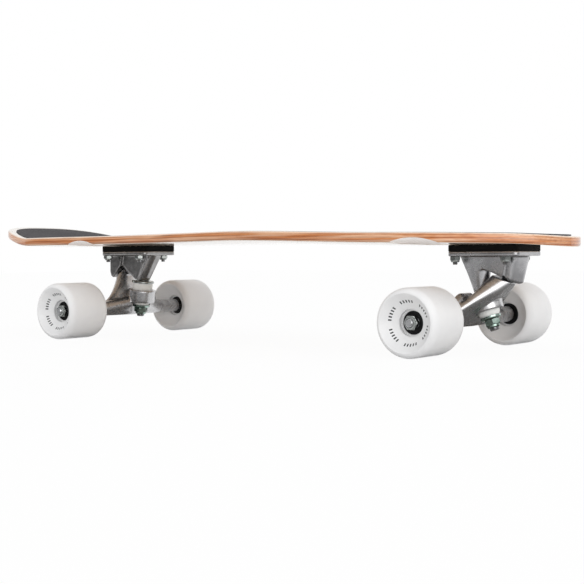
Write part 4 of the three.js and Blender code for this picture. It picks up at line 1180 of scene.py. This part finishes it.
FRONT = {
    "name": "front",
    "seat": Vector((12.6, 27)) * MM,
    "lean": radians(20.2),
    "steer": radians(45),
    "board_bushing": in_mm(radius=10.6, end_radius=10.6, height=8),
    "road_bushing": in_mm(radius=11.2, end_radius=8.8, height=9.2),
    "ring": in_mm(radius=15.6, thickness=9, cup=12.4, cup_height=6, lower=3.2),
    "nut_space": in_mm(along=9.9, across=9.9),
    "arm": in_mm(middle=9.6, edge=4.2, flat=5, base=62),
    "arm_curve": 1.45,
    "fin_tip": Vector((6.2, 20.5)) * MM,
    "fin": in_mm(middle=4.4, edge=4.4, flat=32, base=62),
    "alloy": front_alloy,
    "softening": 12,
    **in_mm(plate_middle=26.2, seat_radius=7.4, pivot_distance=42.2, arm_reach=33, arm_rise=3.2),
}
REAR = {
    "name": "rear",
    "seat": Vector((-22, 34)) * MM,
    "lean": radians(7),
    "steer": radians(40),
    "board_bushing": in_mm(radius=11.8, end_radius=11.8, height=10.8),
    "road_bushing": in_mm(radius=11.2, end_radius=8.8, height=8.6),
    "ring": in_mm(radius=17, thickness=9.6, cup=12.6, cup_height=1.6, lower=4.4),
    "nut_space": in_mm(along=11, across=15),
    "arm": in_mm(middle=7.2, edge=4.2, flat=4, base=62),
    "arm_curve": 2.1,
    "fin_tip": Vector((-13, 8)) * MM,
    "fin": in_mm(middle=7.5, edge=7.5, flat=12, base=52),
    "alloy": rear_alloy,
    "softening": 26,
    **in_mm(plate_middle=-14.2, seat_radius=7.6, pivot_distance=47.5, arm_reach=40, arm_rise=0),
}
TRUCKS = (FRONT, REAR)
WASHER_SHEET = 1.2 * MM
WASHER_LIP = 1.6 * MM
KINGPIN_RADIUS = 4.76 * MM
KINGPIN_NUT_HEIGHT = 8 * MM
KINGPIN_END = 3 * MM
RISER_THICKNESS = 6.4 * MM
FLANGE_THICKNESS = 4.6 * MM
PLATE_END_MARGIN = 10.6 * MM
PLATE_LENGTH = BOLT_PITCH_LONG + 2 * PLATE_END_MARGIN
PLATE_SIDE_MARGIN = 6.55 * MM
PLATE_WIDTH = BOLT_PITCH_WIDE + 2 * PLATE_SIDE_MARGIN
PLATE_CORNER = 5 * MM


def truck_place(truck):
    return shift(AXLES[truck["name"]], 0, WHEEL_RADIUS) @ spin(0 if truck is FRONT else pi, "Z")


def stack(truck):
    """Depth below the kingpin's seat at which each piece on it starts."""
    heights = {
        "washer": WASHER_SHEET,
        "board_bushing": truck["board_bushing"]["height"],
        "ring": truck["ring"]["thickness"],
        "road_bushing": truck["road_bushing"]["height"],
        "road_washer": WASHER_SHEET,
        "nut": KINGPIN_NUT_HEIGHT,
    }
    starts, depth = {}, GAP
    for name, height in heights.items():
        starts[name] = depth
        depth += height + GAP
    return starts


def on_kingpin(truck, depth=0.0):
    seat = truck["seat"]
    return shift(seat.x, 0, seat.y) @ spin(-truck["lean"], "Y") @ shift(0, 0, -depth)


def ring_centre(truck):
    depth = stack(truck)["ring"] + truck["ring"]["thickness"] / 2
    return on_kingpin(truck, depth).translation


def steering_direction(truck):
    return Vector((cos(truck["steer"]), 0, sin(truck["steer"])))


def pivot_point(truck):
    return ring_centre(truck) + steering_direction(truck) * truck["pivot_distance"]


def on_steering_axis(truck):
    return Matrix.Translation(pivot_point(truck)) @ spin(pi / 2 - truck["steer"], "Y")


for truck in TRUCKS:
    print(truck["name"], "pivot:", [round(x / MM, 1) for x in pivot_point(truck)])

# %% [markdown]
# The hanger is one aluminium casting. A round beam holds the axle, a swept arm climbs from it to the pivot, a
# fin stands behind the arm, and a barrel holds the bushings. The arm and the fin are lofts across the truck:
# each section is two circles under one tangent skin, and the outer circle slides back into the beam towards
# the wheels.

# %% Hanger parts
BEAM_RADIUS = 8.2 * MM
BEAM_ROOT_RADIUS = 8.8 * MM
BEAM_END_RADIUS = 6.4 * MM
BEAM_BEVEL = 3 * MM
BEAM_TAPER = 50 * MM
HANGER_HALF = 82.36 * MM
CAPSULE_STEPS = 22
WING_ROWS = 64
EDGE_FADE_SHARE = 1 / 3
MIDDLE_FADE_SHARE = 0.5
WING_ROOT_RADIUS = 7.6 * MM
RING_BORE_RADIUS = 7.6 * MM
CUP_FLARE_SHARE = 0.17
SLAB_SIZE = 150 * MM
FRONT_UNDERSIDE = radians(22.5)
FRONT_NOTCH_RISE = 21 * MM
FRONT_NOTCH_SHARE = 0.82
FRONT_ARM_GAP = 1.5 * MM
REAR_ARM_GAP = 6.4 * MM
PIVOT_BALL_RADIUS = 5 * MM
PIVOT_STEM_RADIUS = 4 * MM
PIVOT_NECK_RADIUS = 6.2 * MM
PIVOT_NECK_DROP = 1.2 * MM
BALL_START = radians(-40)
BALL_STEPS = 12
CAST_GRAIN = 0.62 * MM
STEM_SOFTENING = 3
ROAD_CUP_CLEARANCE = 1.8 * MM


def capsule(y, root, tip, radius, slant):
    halfway = [pi * (n + 0.5) / CAPSULE_STEPS for n in range(CAPSULE_STEPS)]
    far = [slant - pi / 2 + a for a in halfway]
    near = [slant + pi / 2 + a for a in halfway]
    outer = [(tip.x + radius * cos(a), y, tip.y + radius * sin(a)) for a in far]
    return outer + [(root * cos(a), y, root * sin(a)) for a in near]


def wing(tip, curve, middle, edge, flat, base):
    """A fin across the truck, at full height within the flat, that slides down into the beam at its base."""
    slant = atan2(tip.y, tip.x)
    loops = []
    for y in spread(-base, base, WING_ROWS):
        fade = min(max((base - abs(y)) / (base - flat), 0), 1)
        outside = mix(WING_ROOT_RADIUS, edge, smooth(fade / EDGE_FADE_SHARE))
        radius = mix(outside, middle, smooth((fade - MIDDLE_FADE_SHARE) / (1 - MIDDLE_FADE_SHARE)))
        loops.append(capsule(y, WING_ROOT_RADIUS, tip * fade**curve, radius, slant))
    return skin("wing", loops)


def beam():
    end = -HANGER_HALF
    half = [(0, end), (BEAM_END_RADIUS, end), (BEAM_RADIUS, end + BEAM_BEVEL), (BEAM_RADIUS, -BEAM_TAPER)]
    return moved(turned("beam", half + [(BEAM_ROOT_RADIUS, 0)] + flipped(half)), LAY_ALONG_Y)


def pivot_stem(truck, neck):
    ball = PIVOT_BALL_RADIUS
    base = -neck - truck["arm"]["middle"]
    profile = [(0, base), (PIVOT_NECK_RADIUS, base), (PIVOT_NECK_RADIUS, -neck - PIVOT_NECK_DROP)]
    profile += [(PIVOT_STEM_RADIUS, -ball)]
    profile += [(ball * cos(a), ball * sin(a)) for a in spread(BALL_START, pi / 2, BALL_STEPS)[:-1]]
    return moved(turned("stem", profile + [(0, ball)]), on_steering_axis(truck))


def slab_above(matrix):
    """A block over a sloping plane, to keep the arm clear of the casting above it."""
    span = (-SLAB_SIZE, SLAB_SIZE)
    corners = [(x, y, z) for z in (0, SLAB_SIZE) for y in span for x in span]
    faces = [(0, 2, 3, 1), (4, 5, 7, 6), (0, 1, 5, 4), (2, 6, 7, 3), (0, 4, 6, 2), (1, 3, 7, 5)]
    return moved(clean(new_object("slab", corners, faces)), matrix)


def front_notch():
    return FRONT["seat"] + Vector((FRONT["seat_radius"] * FRONT_NOTCH_SHARE, FRONT_NOTCH_RISE))


def relief(truck):
    if truck is FRONT:
        notch = front_notch()
        slope = shift(notch.x, 0, notch.y) @ spin(FRONT_UNDERSIDE, "Y")
        return slab_above(slope @ shift(0, 0, -FRONT_ARM_GAP))
    return slab_above(on_steering_axis(truck) @ shift(0, 0, -REAR_ARM_GAP))


def swing_space(truck, end):
    """Room round the kingpin nut and washer, wider across the truck, for the hanger to swing in."""
    along, across = truck["nut_space"]["along"], truck["nut_space"]["across"]
    top = -stack(truck)["road_bushing"] - truck["ring"]["lower"]
    return moved(plug("nut space", along, along, end, top), Matrix.Diagonal((1, across / along, 1, 1)))


def hanger_tools(truck):
    depth, ring = stack(truck), truck["ring"]
    end = -depth["nut"] - KINGPIN_NUT_HEIGHT - KINGPIN_END - OVERRUN
    floor = -depth["ring"]
    rise = truck["seat"].y - floor
    road_floor = -depth["road_bushing"] + GAP
    road_wide = truck["road_bushing"]["end_radius"] + WASHER_SHEET + ROAD_CUP_CLEARANCE
    tools = [
        plug("bore", RING_BORE_RADIUS, RING_BORE_RADIUS, end, 0),
        swing_space(truck, end),
        plug("board cup", ring["cup"] + rise * CUP_FLARE_SHARE, ring["cup"], floor, truck["seat"].y),
        plug("road cup", ring["cup"], road_wide, -depth["nut"], road_floor),
    ]
    return [moved(tool, on_kingpin(truck)) for tool in tools]


def build_hanger(truck):
    ring, depth = truck["ring"], stack(truck)
    neck = truck["pivot_distance"] - truck["arm_reach"]
    top = on_steering_axis(truck) @ Vector((-truck["arm_rise"], 0, -neck))
    bottom, rim = GAP - depth["road_bushing"] - ring["lower"], ring["cup_height"] - depth["ring"]
    barrel = plug("barrel", ring["radius"], ring["radius"], bottom, rim, ROUND_SIDES)
    parts = [
        beam(),
        wing(Vector((top.x, top.z)), truck["arm_curve"], **truck["arm"]),
        wing(truck["fin_tip"], 1, **truck["fin"]),
        moved(barrel, on_kingpin(truck)),
    ]
    body = cast("body", parts, CAST_GRAIN, truck["softening"])
    carve(body, [relief(truck)])
    name = f"{truck['name']}_hanger_cast"
    whole = cast(name, [body, pivot_stem(truck, neck)], CAST_GRAIN, STEM_SOFTENING)
    past = HANGER_HALF + OVERRUN
    axle_bore = moved(plug("axle bore", AXLE_RADIUS, AXLE_RADIUS, -past, past), LAY_ALONG_Y)
    carve(whole, hanger_tools(truck) + [axle_bore])
    moved(whole, truck_place(truck))
    return dress(whole, f"{truck['name']}_truck", hanger_alloy, "hanger_alloy", f"{truck['name']}_hanger")


for truck in TRUCKS:
    made = build_hanger(truck)
    print(made.name, "faces:", len(made.data.polygons))

# %% [markdown]
# ## Baseplates
# A baseplate is a bolted flange with a tower for the kingpin and a boss for the pivot. The front one has a
# thin tower, an open notch and a web that slopes down to a round boss. The rear one is a deep housing beside
# a leaning tower.

# %% Baseplate parts
FRONT_TOWER_TOP = (16.5 * MM, 10.2 * MM)
FRONT_TOWER_SETBACK = 5.4 * MM
FRONT_WEB_HALF = 6.8 * MM
FRONT_WEB_TOP_HALF = 10.3 * MM
FRONT_FLAT_INSET = 2.4 * MM
FRONT_BOSS_RADIUS = 10.4 * MM
FRONT_BOSS_ADVANCE = 0.6 * MM
FRONT_BOSS_ROUND = 1.8 * MM
FRONT_BOSS_TUCK_SHARE = 0.5
FRONT_WEB_LIFT = 1 * MM
FRONT_BOSS_TOP_RADIUS = 12 * MM
FRONT_BOSS_TOP_ADVANCE = 5.2 * MM
REAR_TOWER_TOP_RADIUS = 9.6 * MM
REAR_TOWER_SETBACK = 20 * MM
REAR_WEB_HALF = 6.4 * MM
REAR_WEB_LIFT = 2 * MM
REAR_HEAD_BOSS_RISE = 2 * MM
REAR_HEAD_BOSS_WALL = 1.2 * MM
REAR_BOSS_HALF = 9.8 * MM
REAR_BOSS_WALL = 3 * MM
REAR_BOSS_LOWER_WALL = 9.4 * MM
REAR_BOSS_SHOULDER = 2 * MM
QUARTER_ROUND_SHARE = sqrt(0.5)
KINGPIN_HEAD_SPACE = 8.6 * MM
KINGPIN_HEAD_ROOM = 20 * MM
KINGPIN_HEAD_FLATS = 14 * MM
KINGPIN_HEAD_CORNER = KINGPIN_HEAD_FLATS / sqrt(3)
KINGPIN_HEAD_HEIGHT = 5.6 * MM
PIVOT_CUP_RADIUS = 6.8 * MM
PIVOT_CUP_DEPTH = 6 * MM
PIVOT_CUP_LIP = 3.4 * MM
PIVOT_CUP_GAP = 0.12 * MM
PIVOT_SOCKET_DEPTH = 19 * MM
CORNER_STEPS = 10
FLANGE_BEVEL = 0.4 * MM
CASTING_SOFTENING = 6


def flange_top(truck):
    return DECK_HEIGHTS[truck["name"]] - RISER_THICKNESS - WHEEL_RADIUS


def flange_bottom(truck):
    return flange_top(truck) - FLANGE_THICKNESS


def rounded_plate(name, length, width, corner, bottom, thickness, bevel):
    """A plate with round corners and a small bevel round its top and bottom edges."""
    def loop(inset, height):
        radius = corner - inset
        points = []
        for quarter, (sx, sy) in enumerate([(1, 1), (-1, 1), (-1, -1), (1, -1)]):
            cx, cy = sx * (length / 2 - corner), sy * (width / 2 - corner)
            for angle in spread(pi / 2 * quarter, pi / 2 * (quarter + 1), CORNER_STEPS):
                points.append((cx + radius * cos(angle), cy + radius * sin(angle), height))
        return points

    top = bottom + thickness
    return skin(name, [loop(bevel, bottom), loop(0, bottom + bevel), loop(0, top - bevel), loop(bevel, top)])


def ellipse(x, z, length, width, tilt=0.0):
    unit = circle(1, 0, SMALL_SIDES)
    return [(x + length * u, width * v, z - length * u * tan(tilt)) for u, v, _ in unit]


def side_plate(points, half, top_half=None):
    """A plate across the truck. With a top half it widens upwards, as the draft of a casting does."""
    low, high = min(z for x, z in points), max(z for x, z in points)
    halves = [mix(half, top_half or half, (z - low) / (high - low)) for x, z in points]
    return skin("web", [[(x, side * y, z) for (x, z), y in zip(points, halves)] for side in (-1, 1)])


def front_casting():
    top = flange_bottom(FRONT) + FLANGE_THICKNESS / 2
    seat, notch, pivot = FRONT["seat"], front_notch(), pivot_point(FRONT)
    boss_x = pivot.x - PIVOT_CUP_LIP * cos(FRONT["steer"]) + FRONT_BOSS_ADVANCE
    boss_z = notch.y - (boss_x - notch.x) * tan(FRONT_UNDERSIDE)
    radius = FRONT["seat_radius"]
    tower = skin("tower", [
        ellipse(seat.x, seat.y, radius, radius, -FRONT["lean"]),
        ellipse(seat.x - FRONT_TOWER_SETBACK, top, *FRONT_TOWER_TOP),
    ])
    foot = FRONT_BOSS_RADIUS - FRONT_BOSS_ROUND
    boss = skin("boss", [
        ellipse(boss_x - FRONT_BOSS_ROUND * FRONT_BOSS_TUCK_SHARE, boss_z, foot, foot, FRONT_UNDERSIDE),
        ellipse(boss_x, boss_z + FRONT_BOSS_ROUND, FRONT_BOSS_RADIUS, FRONT_BOSS_RADIUS, FRONT_UNDERSIDE),
        ellipse(boss_x + FRONT_BOSS_TOP_ADVANCE, top, FRONT_BOSS_TOP_RADIUS, FRONT_BOSS_TOP_RADIUS),
    ])
    web = side_plate([
        (seat.x - FRONT_TOWER_SETBACK - FRONT_TOWER_TOP[0] + FRONT_FLAT_INSET, top),
        (seat.x - radius + FRONT_FLAT_INSET, seat.y + FRONT_WEB_LIFT),
        (seat.x, seat.y + FRONT_WEB_LIFT),
        (seat.x, notch.y - FRONT_FLAT_INSET),
        (notch.x, notch.y),
        (boss_x, boss_z),
        (boss_x + FRONT_BOSS_TOP_ADVANCE, top),
    ], FRONT_WEB_HALF, FRONT_WEB_TOP_HALF)
    return [tower, boss, web]


def rear_casting():
    top = flange_bottom(REAR) + FLANGE_THICKNESS / 2
    seat, pivot, lean = REAR["seat"], pivot_point(REAR), REAR["lean"]
    along = Vector((cos(REAR["steer"]), sin(REAR["steer"])))
    across = Vector((along.y, -along.x))
    mouth = Vector((pivot.x, pivot.z)) - along * PIVOT_CUP_LIP
    foot = PIVOT_CUP_RADIUS + REAR_BOSS_WALL
    radius = REAR["seat_radius"]
    edge = seat + Vector((cos(lean), sin(lean))) * radius
    outer, shoulder = pivot.x + REAR_BOSS_LOWER_WALL, pivot.z - REAR_BOSS_SHOULDER
    apex, toe = mouth - across * foot, mouth + across * foot
    tower = skin("tower", [
        ellipse(seat.x, seat.y, radius, radius, -lean),
        ellipse(seat.x - REAR_TOWER_SETBACK, top, REAR_TOWER_TOP_RADIUS, REAR_TOWER_TOP_RADIUS),
    ])
    web = side_plate([
        (seat.x - REAR_TOWER_SETBACK, top),
        (seat.x, seat.y + REAR_WEB_LIFT),
        tuple(edge),
        tuple(apex),
        (apex.x, top),
    ], REAR_WEB_HALF)
    housing = side_plate([
        (apex.x - REAR_BOSS_WALL, top),
        tuple(apex),
        tuple(toe),
        (mix(toe.x, outer, QUARTER_ROUND_SHARE), mix(shoulder, toe.y, QUARTER_ROUND_SHARE)),
        (outer, shoulder),
        (outer, top),
    ], REAR_BOSS_HALF)
    head_radius = KINGPIN_HEAD_SPACE + REAR_HEAD_BOSS_WALL
    floor = kingpin_head_floor(REAR)
    low, high = floor - GAP - REAR_HEAD_BOSS_WALL, floor + REAR_HEAD_BOSS_RISE
    head_boss = plug("head boss", head_radius, head_radius, low, high)
    return [tower, web, housing, moved(head_boss, on_kingpin(REAR))]


def kingpin_head_floor(truck):
    """Height of the kingpin head's underside above the seat, along the kingpin."""
    lean = truck["lean"]
    rise = (flange_top(truck) - truck["seat"].y) / cos(lean)
    return rise - KINGPIN_HEAD_HEIGHT - KINGPIN_HEAD_CORNER * tan(lean) - GAP


def flange(truck):
    bottom = flange_bottom(truck)
    size = (PLATE_LENGTH, PLATE_WIDTH, PLATE_CORNER)
    plate = rounded_plate("flange", *size, bottom, FLANGE_THICKNESS, FLANGE_BEVEL)
    return moved(plate, shift(truck["plate_middle"], 0, 0))


def bolt_hole_tools(name, bottom, top):
    """A drill for each of a truck's four deck bolts, in the board's own frame."""
    holes = []
    for number in BOLT_NUMBERS:
        middle = node_centre(f"{name}_deck_bolt_{number}")
        hole = plug("hole", BOLT_HOLE_RADIUS, BOLT_HOLE_RADIUS, bottom - OVERRUN, top + OVERRUN, HOLE_SIDES)
        holes.append(moved(hole, shift(middle.x, middle.y, 0)))
    return holes


def baseplate_tools(truck):
    top = flange_top(truck)
    reach = (top - truck["seat"].y) / cos(truck["lean"])
    head_floor = kingpin_head_floor(truck) - GAP
    shaft, head, socket = KINGPIN_RADIUS + GAP, KINGPIN_HEAD_SPACE, PIVOT_CUP_RADIUS + PIVOT_CUP_GAP
    socket_end = -PIVOT_CUP_LIP - PIVOT_SOCKET_DEPTH
    tools = [
        moved(plug("shaft", shaft, shaft, -OVERRUN, reach + OVERRUN), on_kingpin(truck)),
        moved(plug("head", head, head, head_floor, reach + KINGPIN_HEAD_ROOM), on_kingpin(truck)),
        moved(plug("socket", socket, socket, socket_end, PIVOT_CUP_DEPTH + GAP), on_steering_axis(truck)),
    ]
    holes = bolt_hole_tools(truck["name"], flange_bottom(truck) + WHEEL_RADIUS, top + WHEEL_RADIUS)
    return tools + [moved(hole, truck_place(truck).inverted()) for hole in holes]


def build_baseplate(truck):
    name = f"{truck['name']}_baseplate_cast"
    casting = front_casting() if truck is FRONT else rear_casting()
    whole = cast(name, [flange(truck), *casting], CAST_GRAIN, CASTING_SOFTENING)
    carve(whole, baseplate_tools(truck))
    moved(whole, truck_place(truck))
    slot = f"{truck['name']}_casting"
    return dress(whole, "board", truck["alloy"], slot, f"{truck['name']}_baseplate")


for truck in TRUCKS:
    made = build_baseplate(truck)
    print(made.name, "faces:", len(made.data.polygons))

# %% [markdown]
# ## Kingpin, bushings and washers
# The bushings are soft urethane and squeeze as the truck steers, but each one here is a plain turned piece
# between the hanger and the board. Dished washers hold their ends, and a lock nut closes the stack.

# %% Build the kingpin stack
CUP_LINER_GAP = 0.24 * MM
CUP_MOUTH_CHAMFER = 0.5 * MM
CUP_STEPS = 12
FLAT_WASHER_RADIUS = 8.1 * MM
STACK_BORE_GAP = 0.2 * MM
STACK_BORE_RADIUS = KINGPIN_RADIUS + STACK_BORE_GAP
BUSHING_ROUND_SHARE = 0.12
BUSHING_STEPS = 6
BUSHING_SIDES = 72
BELLY_SHARE = 0.35
BELLY_HEIGHT_SHARE = 0.5
TAPERED_BELLY = 0.25 * MM
STRAIGHT_BELLY = 0.35 * MM
WASHER_BEND_STEPS = 5
WASHER_EDGE_SHARE = 0.85
WASHER_EDGE_BEVEL = 0.2 * MM
KINGPIN_NUT_FLATS = 14.3 * MM
KINGPIN_NUT_COLLAR = 2.2 * MM
KINGPIN_THREAD_LENGTH = 12 * MM
KINGPIN_THREAD_DEPTH = 0.5 * MM
KINGPIN_HEAD_OVERLAP = 2 * MM
KINGPIN_HEAD_BEVEL = 0.4 * MM
KINGPIN_HEAD_TOP_SHARE = 0.94


def bushing_profile(radius, end_radius, height):
    """A straight or tapered bushing with round edges and a slight belly."""
    edge = radius * BUSHING_ROUND_SHARE
    corner = spread(0, pi / 2, BUSHING_STEPS)
    upper = [(radius - edge + edge * sin(a), -edge + edge * cos(a)) for a in corner]
    lower = [(end_radius - edge + edge * cos(a), edge - height - edge * sin(a)) for a in corner]
    bulge = STRAIGHT_BELLY if radius == end_radius else TAPERED_BELLY
    belly = (mix(radius, end_radius, BELLY_SHARE) + bulge, -height * BELLY_HEIGHT_SHARE)
    return [(STACK_BORE_RADIUS, 0)] + upper + [belly] + lower + [(STACK_BORE_RADIUS, -height)]


def washer_profile(radius, facing):
    """A dished washer: a flat sheet with a lip turned up or down round the bushing."""
    inner = radius + GAP
    outer = inner + WASHER_SHEET
    low, lip = -facing * WASHER_SHEET, facing * WASHER_LIP
    bend = [(inner + WASHER_SHEET * sin(a), low * cos(a)) for a in spread(0, pi / 2, WASHER_BEND_STEPS)]
    edge = [(outer, lip * WASHER_EDGE_SHARE), (outer - WASHER_EDGE_BEVEL, lip), (inner, lip), (inner, 0)]
    return [(STACK_BORE_RADIUS, low)] + bend + edge + [(STACK_BORE_RADIUS, 0)]


def flat_profile(radius):
    low, rim = WASHER_EDGE_BEVEL - WASHER_SHEET, radius - WASHER_EDGE_BEVEL
    top = [(STACK_BORE_RADIUS, 0), (rim, 0), (radius, -WASHER_EDGE_BEVEL)]
    return top + [(radius, low), (rim, -WASHER_SHEET), (STACK_BORE_RADIUS, -WASHER_SHEET)]


def board_washer_profile(truck):
    """The front truck's washer is flat. The rear one is dished and opens downwards."""
    if truck is FRONT:
        return flat_profile(FLAT_WASHER_RADIUS)
    return [(radius, z - WASHER_SHEET) for radius, z in washer_profile(truck["board_bushing"]["radius"], -1)]


def build_bushing(truck, which, ring_face, fixed_face):
    name = truck["name"]
    depth = stack(truck)
    key = f"{which}_bushing"
    piece = turned(f"{name}_{key}_soft", bushing_profile(**truck[key]), BUSHING_SIDES, ring=True)
    place = truck_place(truck)
    moved(piece, place @ on_kingpin(truck, depth[key]))
    start = (place @ on_kingpin(truck, ring_face)).translation
    end = (place @ on_kingpin(truck, fixed_face)).translation
    dress(piece, None, pale_bushing, "bushing", f"{name}_{key}")
    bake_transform(piece)


def build_stack(truck):
    name, depth, place = truck["name"], stack(truck), truck_place(truck)
    build_bushing(truck, "board", depth["ring"], depth["board_bushing"])
    build_bushing(truck, "road", depth["road_bushing"], depth["road_washer"])
    washer = turned(f"{name}_board_washer_dish", board_washer_profile(truck), ring=True)
    moved(washer, place @ on_kingpin(truck, depth["washer"]))
    dress(washer, "board", zinc, "zinc_steel", f"{name}_board_washer")
    road_profile = washer_profile(truck["road_bushing"]["end_radius"], 1)
    road = turned(f"{name}_road_washer_dish", road_profile, ring=True)
    moved(road, place @ on_kingpin(truck, depth["road_washer"]))
    dress(road, "board", green_zinc, "zinc_steel", f"{name}_road_washer")
    sizes = (KINGPIN_NUT_FLATS, KINGPIN_NUT_HEIGHT, KINGPIN_NUT_COLLAR)
    nut = lock_nut(f"{name}_kingpin_nut_hex", *sizes, KINGPIN_RADIUS + SEAT_GAP)
    moved(nut, place @ on_kingpin(truck, depth["nut"]))
    dress(nut, "board", green_zinc, "zinc_steel", f"{name}_kingpin_nut")
    build_kingpin(truck, depth)


def build_kingpin(truck, depth):
    end = -depth["nut"] - KINGPIN_NUT_HEIGHT - KINGPIN_END
    floor = kingpin_head_floor(truck)
    reach, thread_end = floor + KINGPIN_HEAD_OVERLAP, end + KINGPIN_THREAD_LENGTH
    shaft = threaded("shaft", KINGPIN_RADIUS, end, reach, thread_end, KINGPIN_THREAD_DEPTH)

    def hexagon(scale, rise):
        corners = [(hex_radius(a, KINGPIN_HEAD_FLATS) * scale, a) for a in round_angles(NUT_SIDES)]
        return [(radius * cos(a), radius * sin(a), floor + rise) for radius, a in corners]

    shoulder = KINGPIN_HEAD_HEIGHT - KINGPIN_HEAD_BEVEL
    top = hexagon(KINGPIN_HEAD_TOP_SHARE, KINGPIN_HEAD_HEIGHT)
    head = skin("head", [hexagon(1, 0), hexagon(1, shoulder), top])
    pin = moved(join(f"{truck['name']}_kingpin_bolt", [shaft, head]), truck_place(truck) @ on_kingpin(truck))
    clean(pin)
    dress(pin, "board", steel, "steel", f"{truck['name']}_kingpin")


def build_pivot_cup(truck):
    inner = PIVOT_BALL_RADIUS + CUP_LINER_GAP
    wide, lip = PIVOT_CUP_RADIUS, -PIVOT_CUP_LIP
    hollow = [(inner * cos(a), inner * sin(a)) for a in spread(pi / 2, 0, CUP_STEPS)[1:]]
    mouth = [(inner, lip + CUP_MOUTH_CHAMFER), (inner + CUP_MOUTH_CHAMFER, lip), (wide, lip)]
    profile = [(0, inner)] + hollow + mouth + [(wide, PIVOT_CUP_DEPTH), (0, PIVOT_CUP_DEPTH)]
    cup = turned(f"{truck['name']}_pivot_cup_liner", profile)
    moved(cup, truck_place(truck) @ on_steering_axis(truck))
    dress(cup, "board", cup_plastic, "pivot_cup", f"{truck['name']}_pivot_cup")


for truck in TRUCKS:
    build_stack(truck)
    build_pivot_cup(truck)
print("kingpin stacks are built")

# %% [markdown]
# ## Risers, deck bolts and nuts
# A riser pad lifts each truck off the deck. Four countersunk bolts pass through the deck, riser and flange,
# with a cross recess in each head and a small lock nut below.

# %% Build risers
RISER_BEVEL = 0.5 * MM


def build_riser(truck):
    name = truck["name"]
    bottom = DECK_HEIGHTS[name] - RISER_THICKNESS
    low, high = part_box(f"{name}_riser")
    size = (PLATE_LENGTH, PLATE_WIDTH, PLATE_CORNER)
    pad = rounded_plate(f"{name}_riser_pad", *size, bottom, RISER_THICKNESS, RISER_BEVEL)
    moved(pad, shift((low.x + high.x) / 2, 0, 0))
    carve(pad, bolt_hole_tools(name, bottom, bottom + RISER_THICKNESS))
    dress(pad, "board", riser_rubber, "riser", f"{name}_riser")


for truck in TRUCKS:
    build_riser(truck)
print("risers are built")

# %% [markdown]
# A bolt's recess is two narrow bars crossed, and each bolt stands turned a little differently, as hands leave
# them.

# %% Build deck bolts and nuts
BOLT_RADIUS = 2.4 * MM
BOLT_PITCH = 0.8 * MM
BOLT_THREAD_LENGTH = 12 * MM
BOLT_THREAD_DEPTH = 0.3 * MM
BOLT_CHAMFER = 0.4 * MM
HEAD_EDGE = 0.25 * MM
HEAD_BEVEL = 0.1 * MM
RECESS_LENGTH = 2.6 * MM
RECESS_HALF = 0.55 * MM
RECESS_DEPTH = 1.6 * MM
RECESS_OVERRUN = 1 * MM
RECESS_FLOOR_SHARE = 0.45
RECESS_TURN = 0.3
DECK_NUT_FLATS = 9.5 * MM
DECK_NUT_HEIGHT = 5.6 * MM
DECK_NUT_COLLAR = 1.6 * MM


def recess_tool(top, turn):
    """One bar of the cross recess, narrowing towards the bottom."""
    rows = []
    for height, scale in ((top - RECESS_DEPTH, RECESS_FLOOR_SHARE), (top + RECESS_OVERRUN, 1)):
        x, y = RECESS_LENGTH * scale, RECESS_HALF
        rows.append([(-x, -y, height), (x, -y, height), (x, y, height), (-x, y, height)])
    return moved(skin("bar", rows), spin(turn, "Z"))


def build_deck_bolt(truck, number):
    node = f"{truck}_deck_bolt_{number}"
    low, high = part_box(node)
    middle = (low + high) / 2
    thread = (BOLT_PITCH, BOLT_THREAD_DEPTH, BOLT_CHAMFER)
    loops = threaded_loops(BOLT_RADIUS, low.z, low.z + BOLT_THREAD_LENGTH, *thread)
    head = [(BOLT_RADIUS, high.z - BOLT_HEAD_HEIGHT), (BOLT_HEAD_RADIUS, high.z - HEAD_EDGE)]
    head += [(BOLT_HEAD_RADIUS - HEAD_BEVEL, high.z), (0, high.z)]
    bolt = skin(f"{node}_screw", loops + [circle(radius, height, THREAD_SIDES) for radius, height in head])
    for turn in (0, pi / 2):
        carve(bolt, [recess_tool(high.z, RECESS_TURN + number + turn)])
    moved(bolt, shift(middle.x, middle.y, 0))
    dress(bolt, "board", steel, "steel", node)


def build_deck_nut(truck, number):
    node = f"{truck}_deck_nut_{number}"
    low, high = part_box(node)
    nut = lock_nut(f"{node}_hex", DECK_NUT_FLATS, DECK_NUT_HEIGHT, DECK_NUT_COLLAR, BOLT_RADIUS + SEAT_GAP)
    middle = (low + high) / 2
    moved(nut, shift(middle.x, middle.y, high.z))
    dress(nut, "board", zinc, "zinc_steel", node)


for truck in AXLES:
    for number in BOLT_NUMBERS:
        build_deck_bolt(truck, number)
        build_deck_nut(truck, number)
print("deck bolts and nuts are built")

# %% Measure how far the finer pieces reach past the solids
look_low, look_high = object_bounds()
outside = max(*(solid_low - look_low), *(look_high - solid_high))
print("largest step outside the solids:", round(outside / MM, 2), "mm")
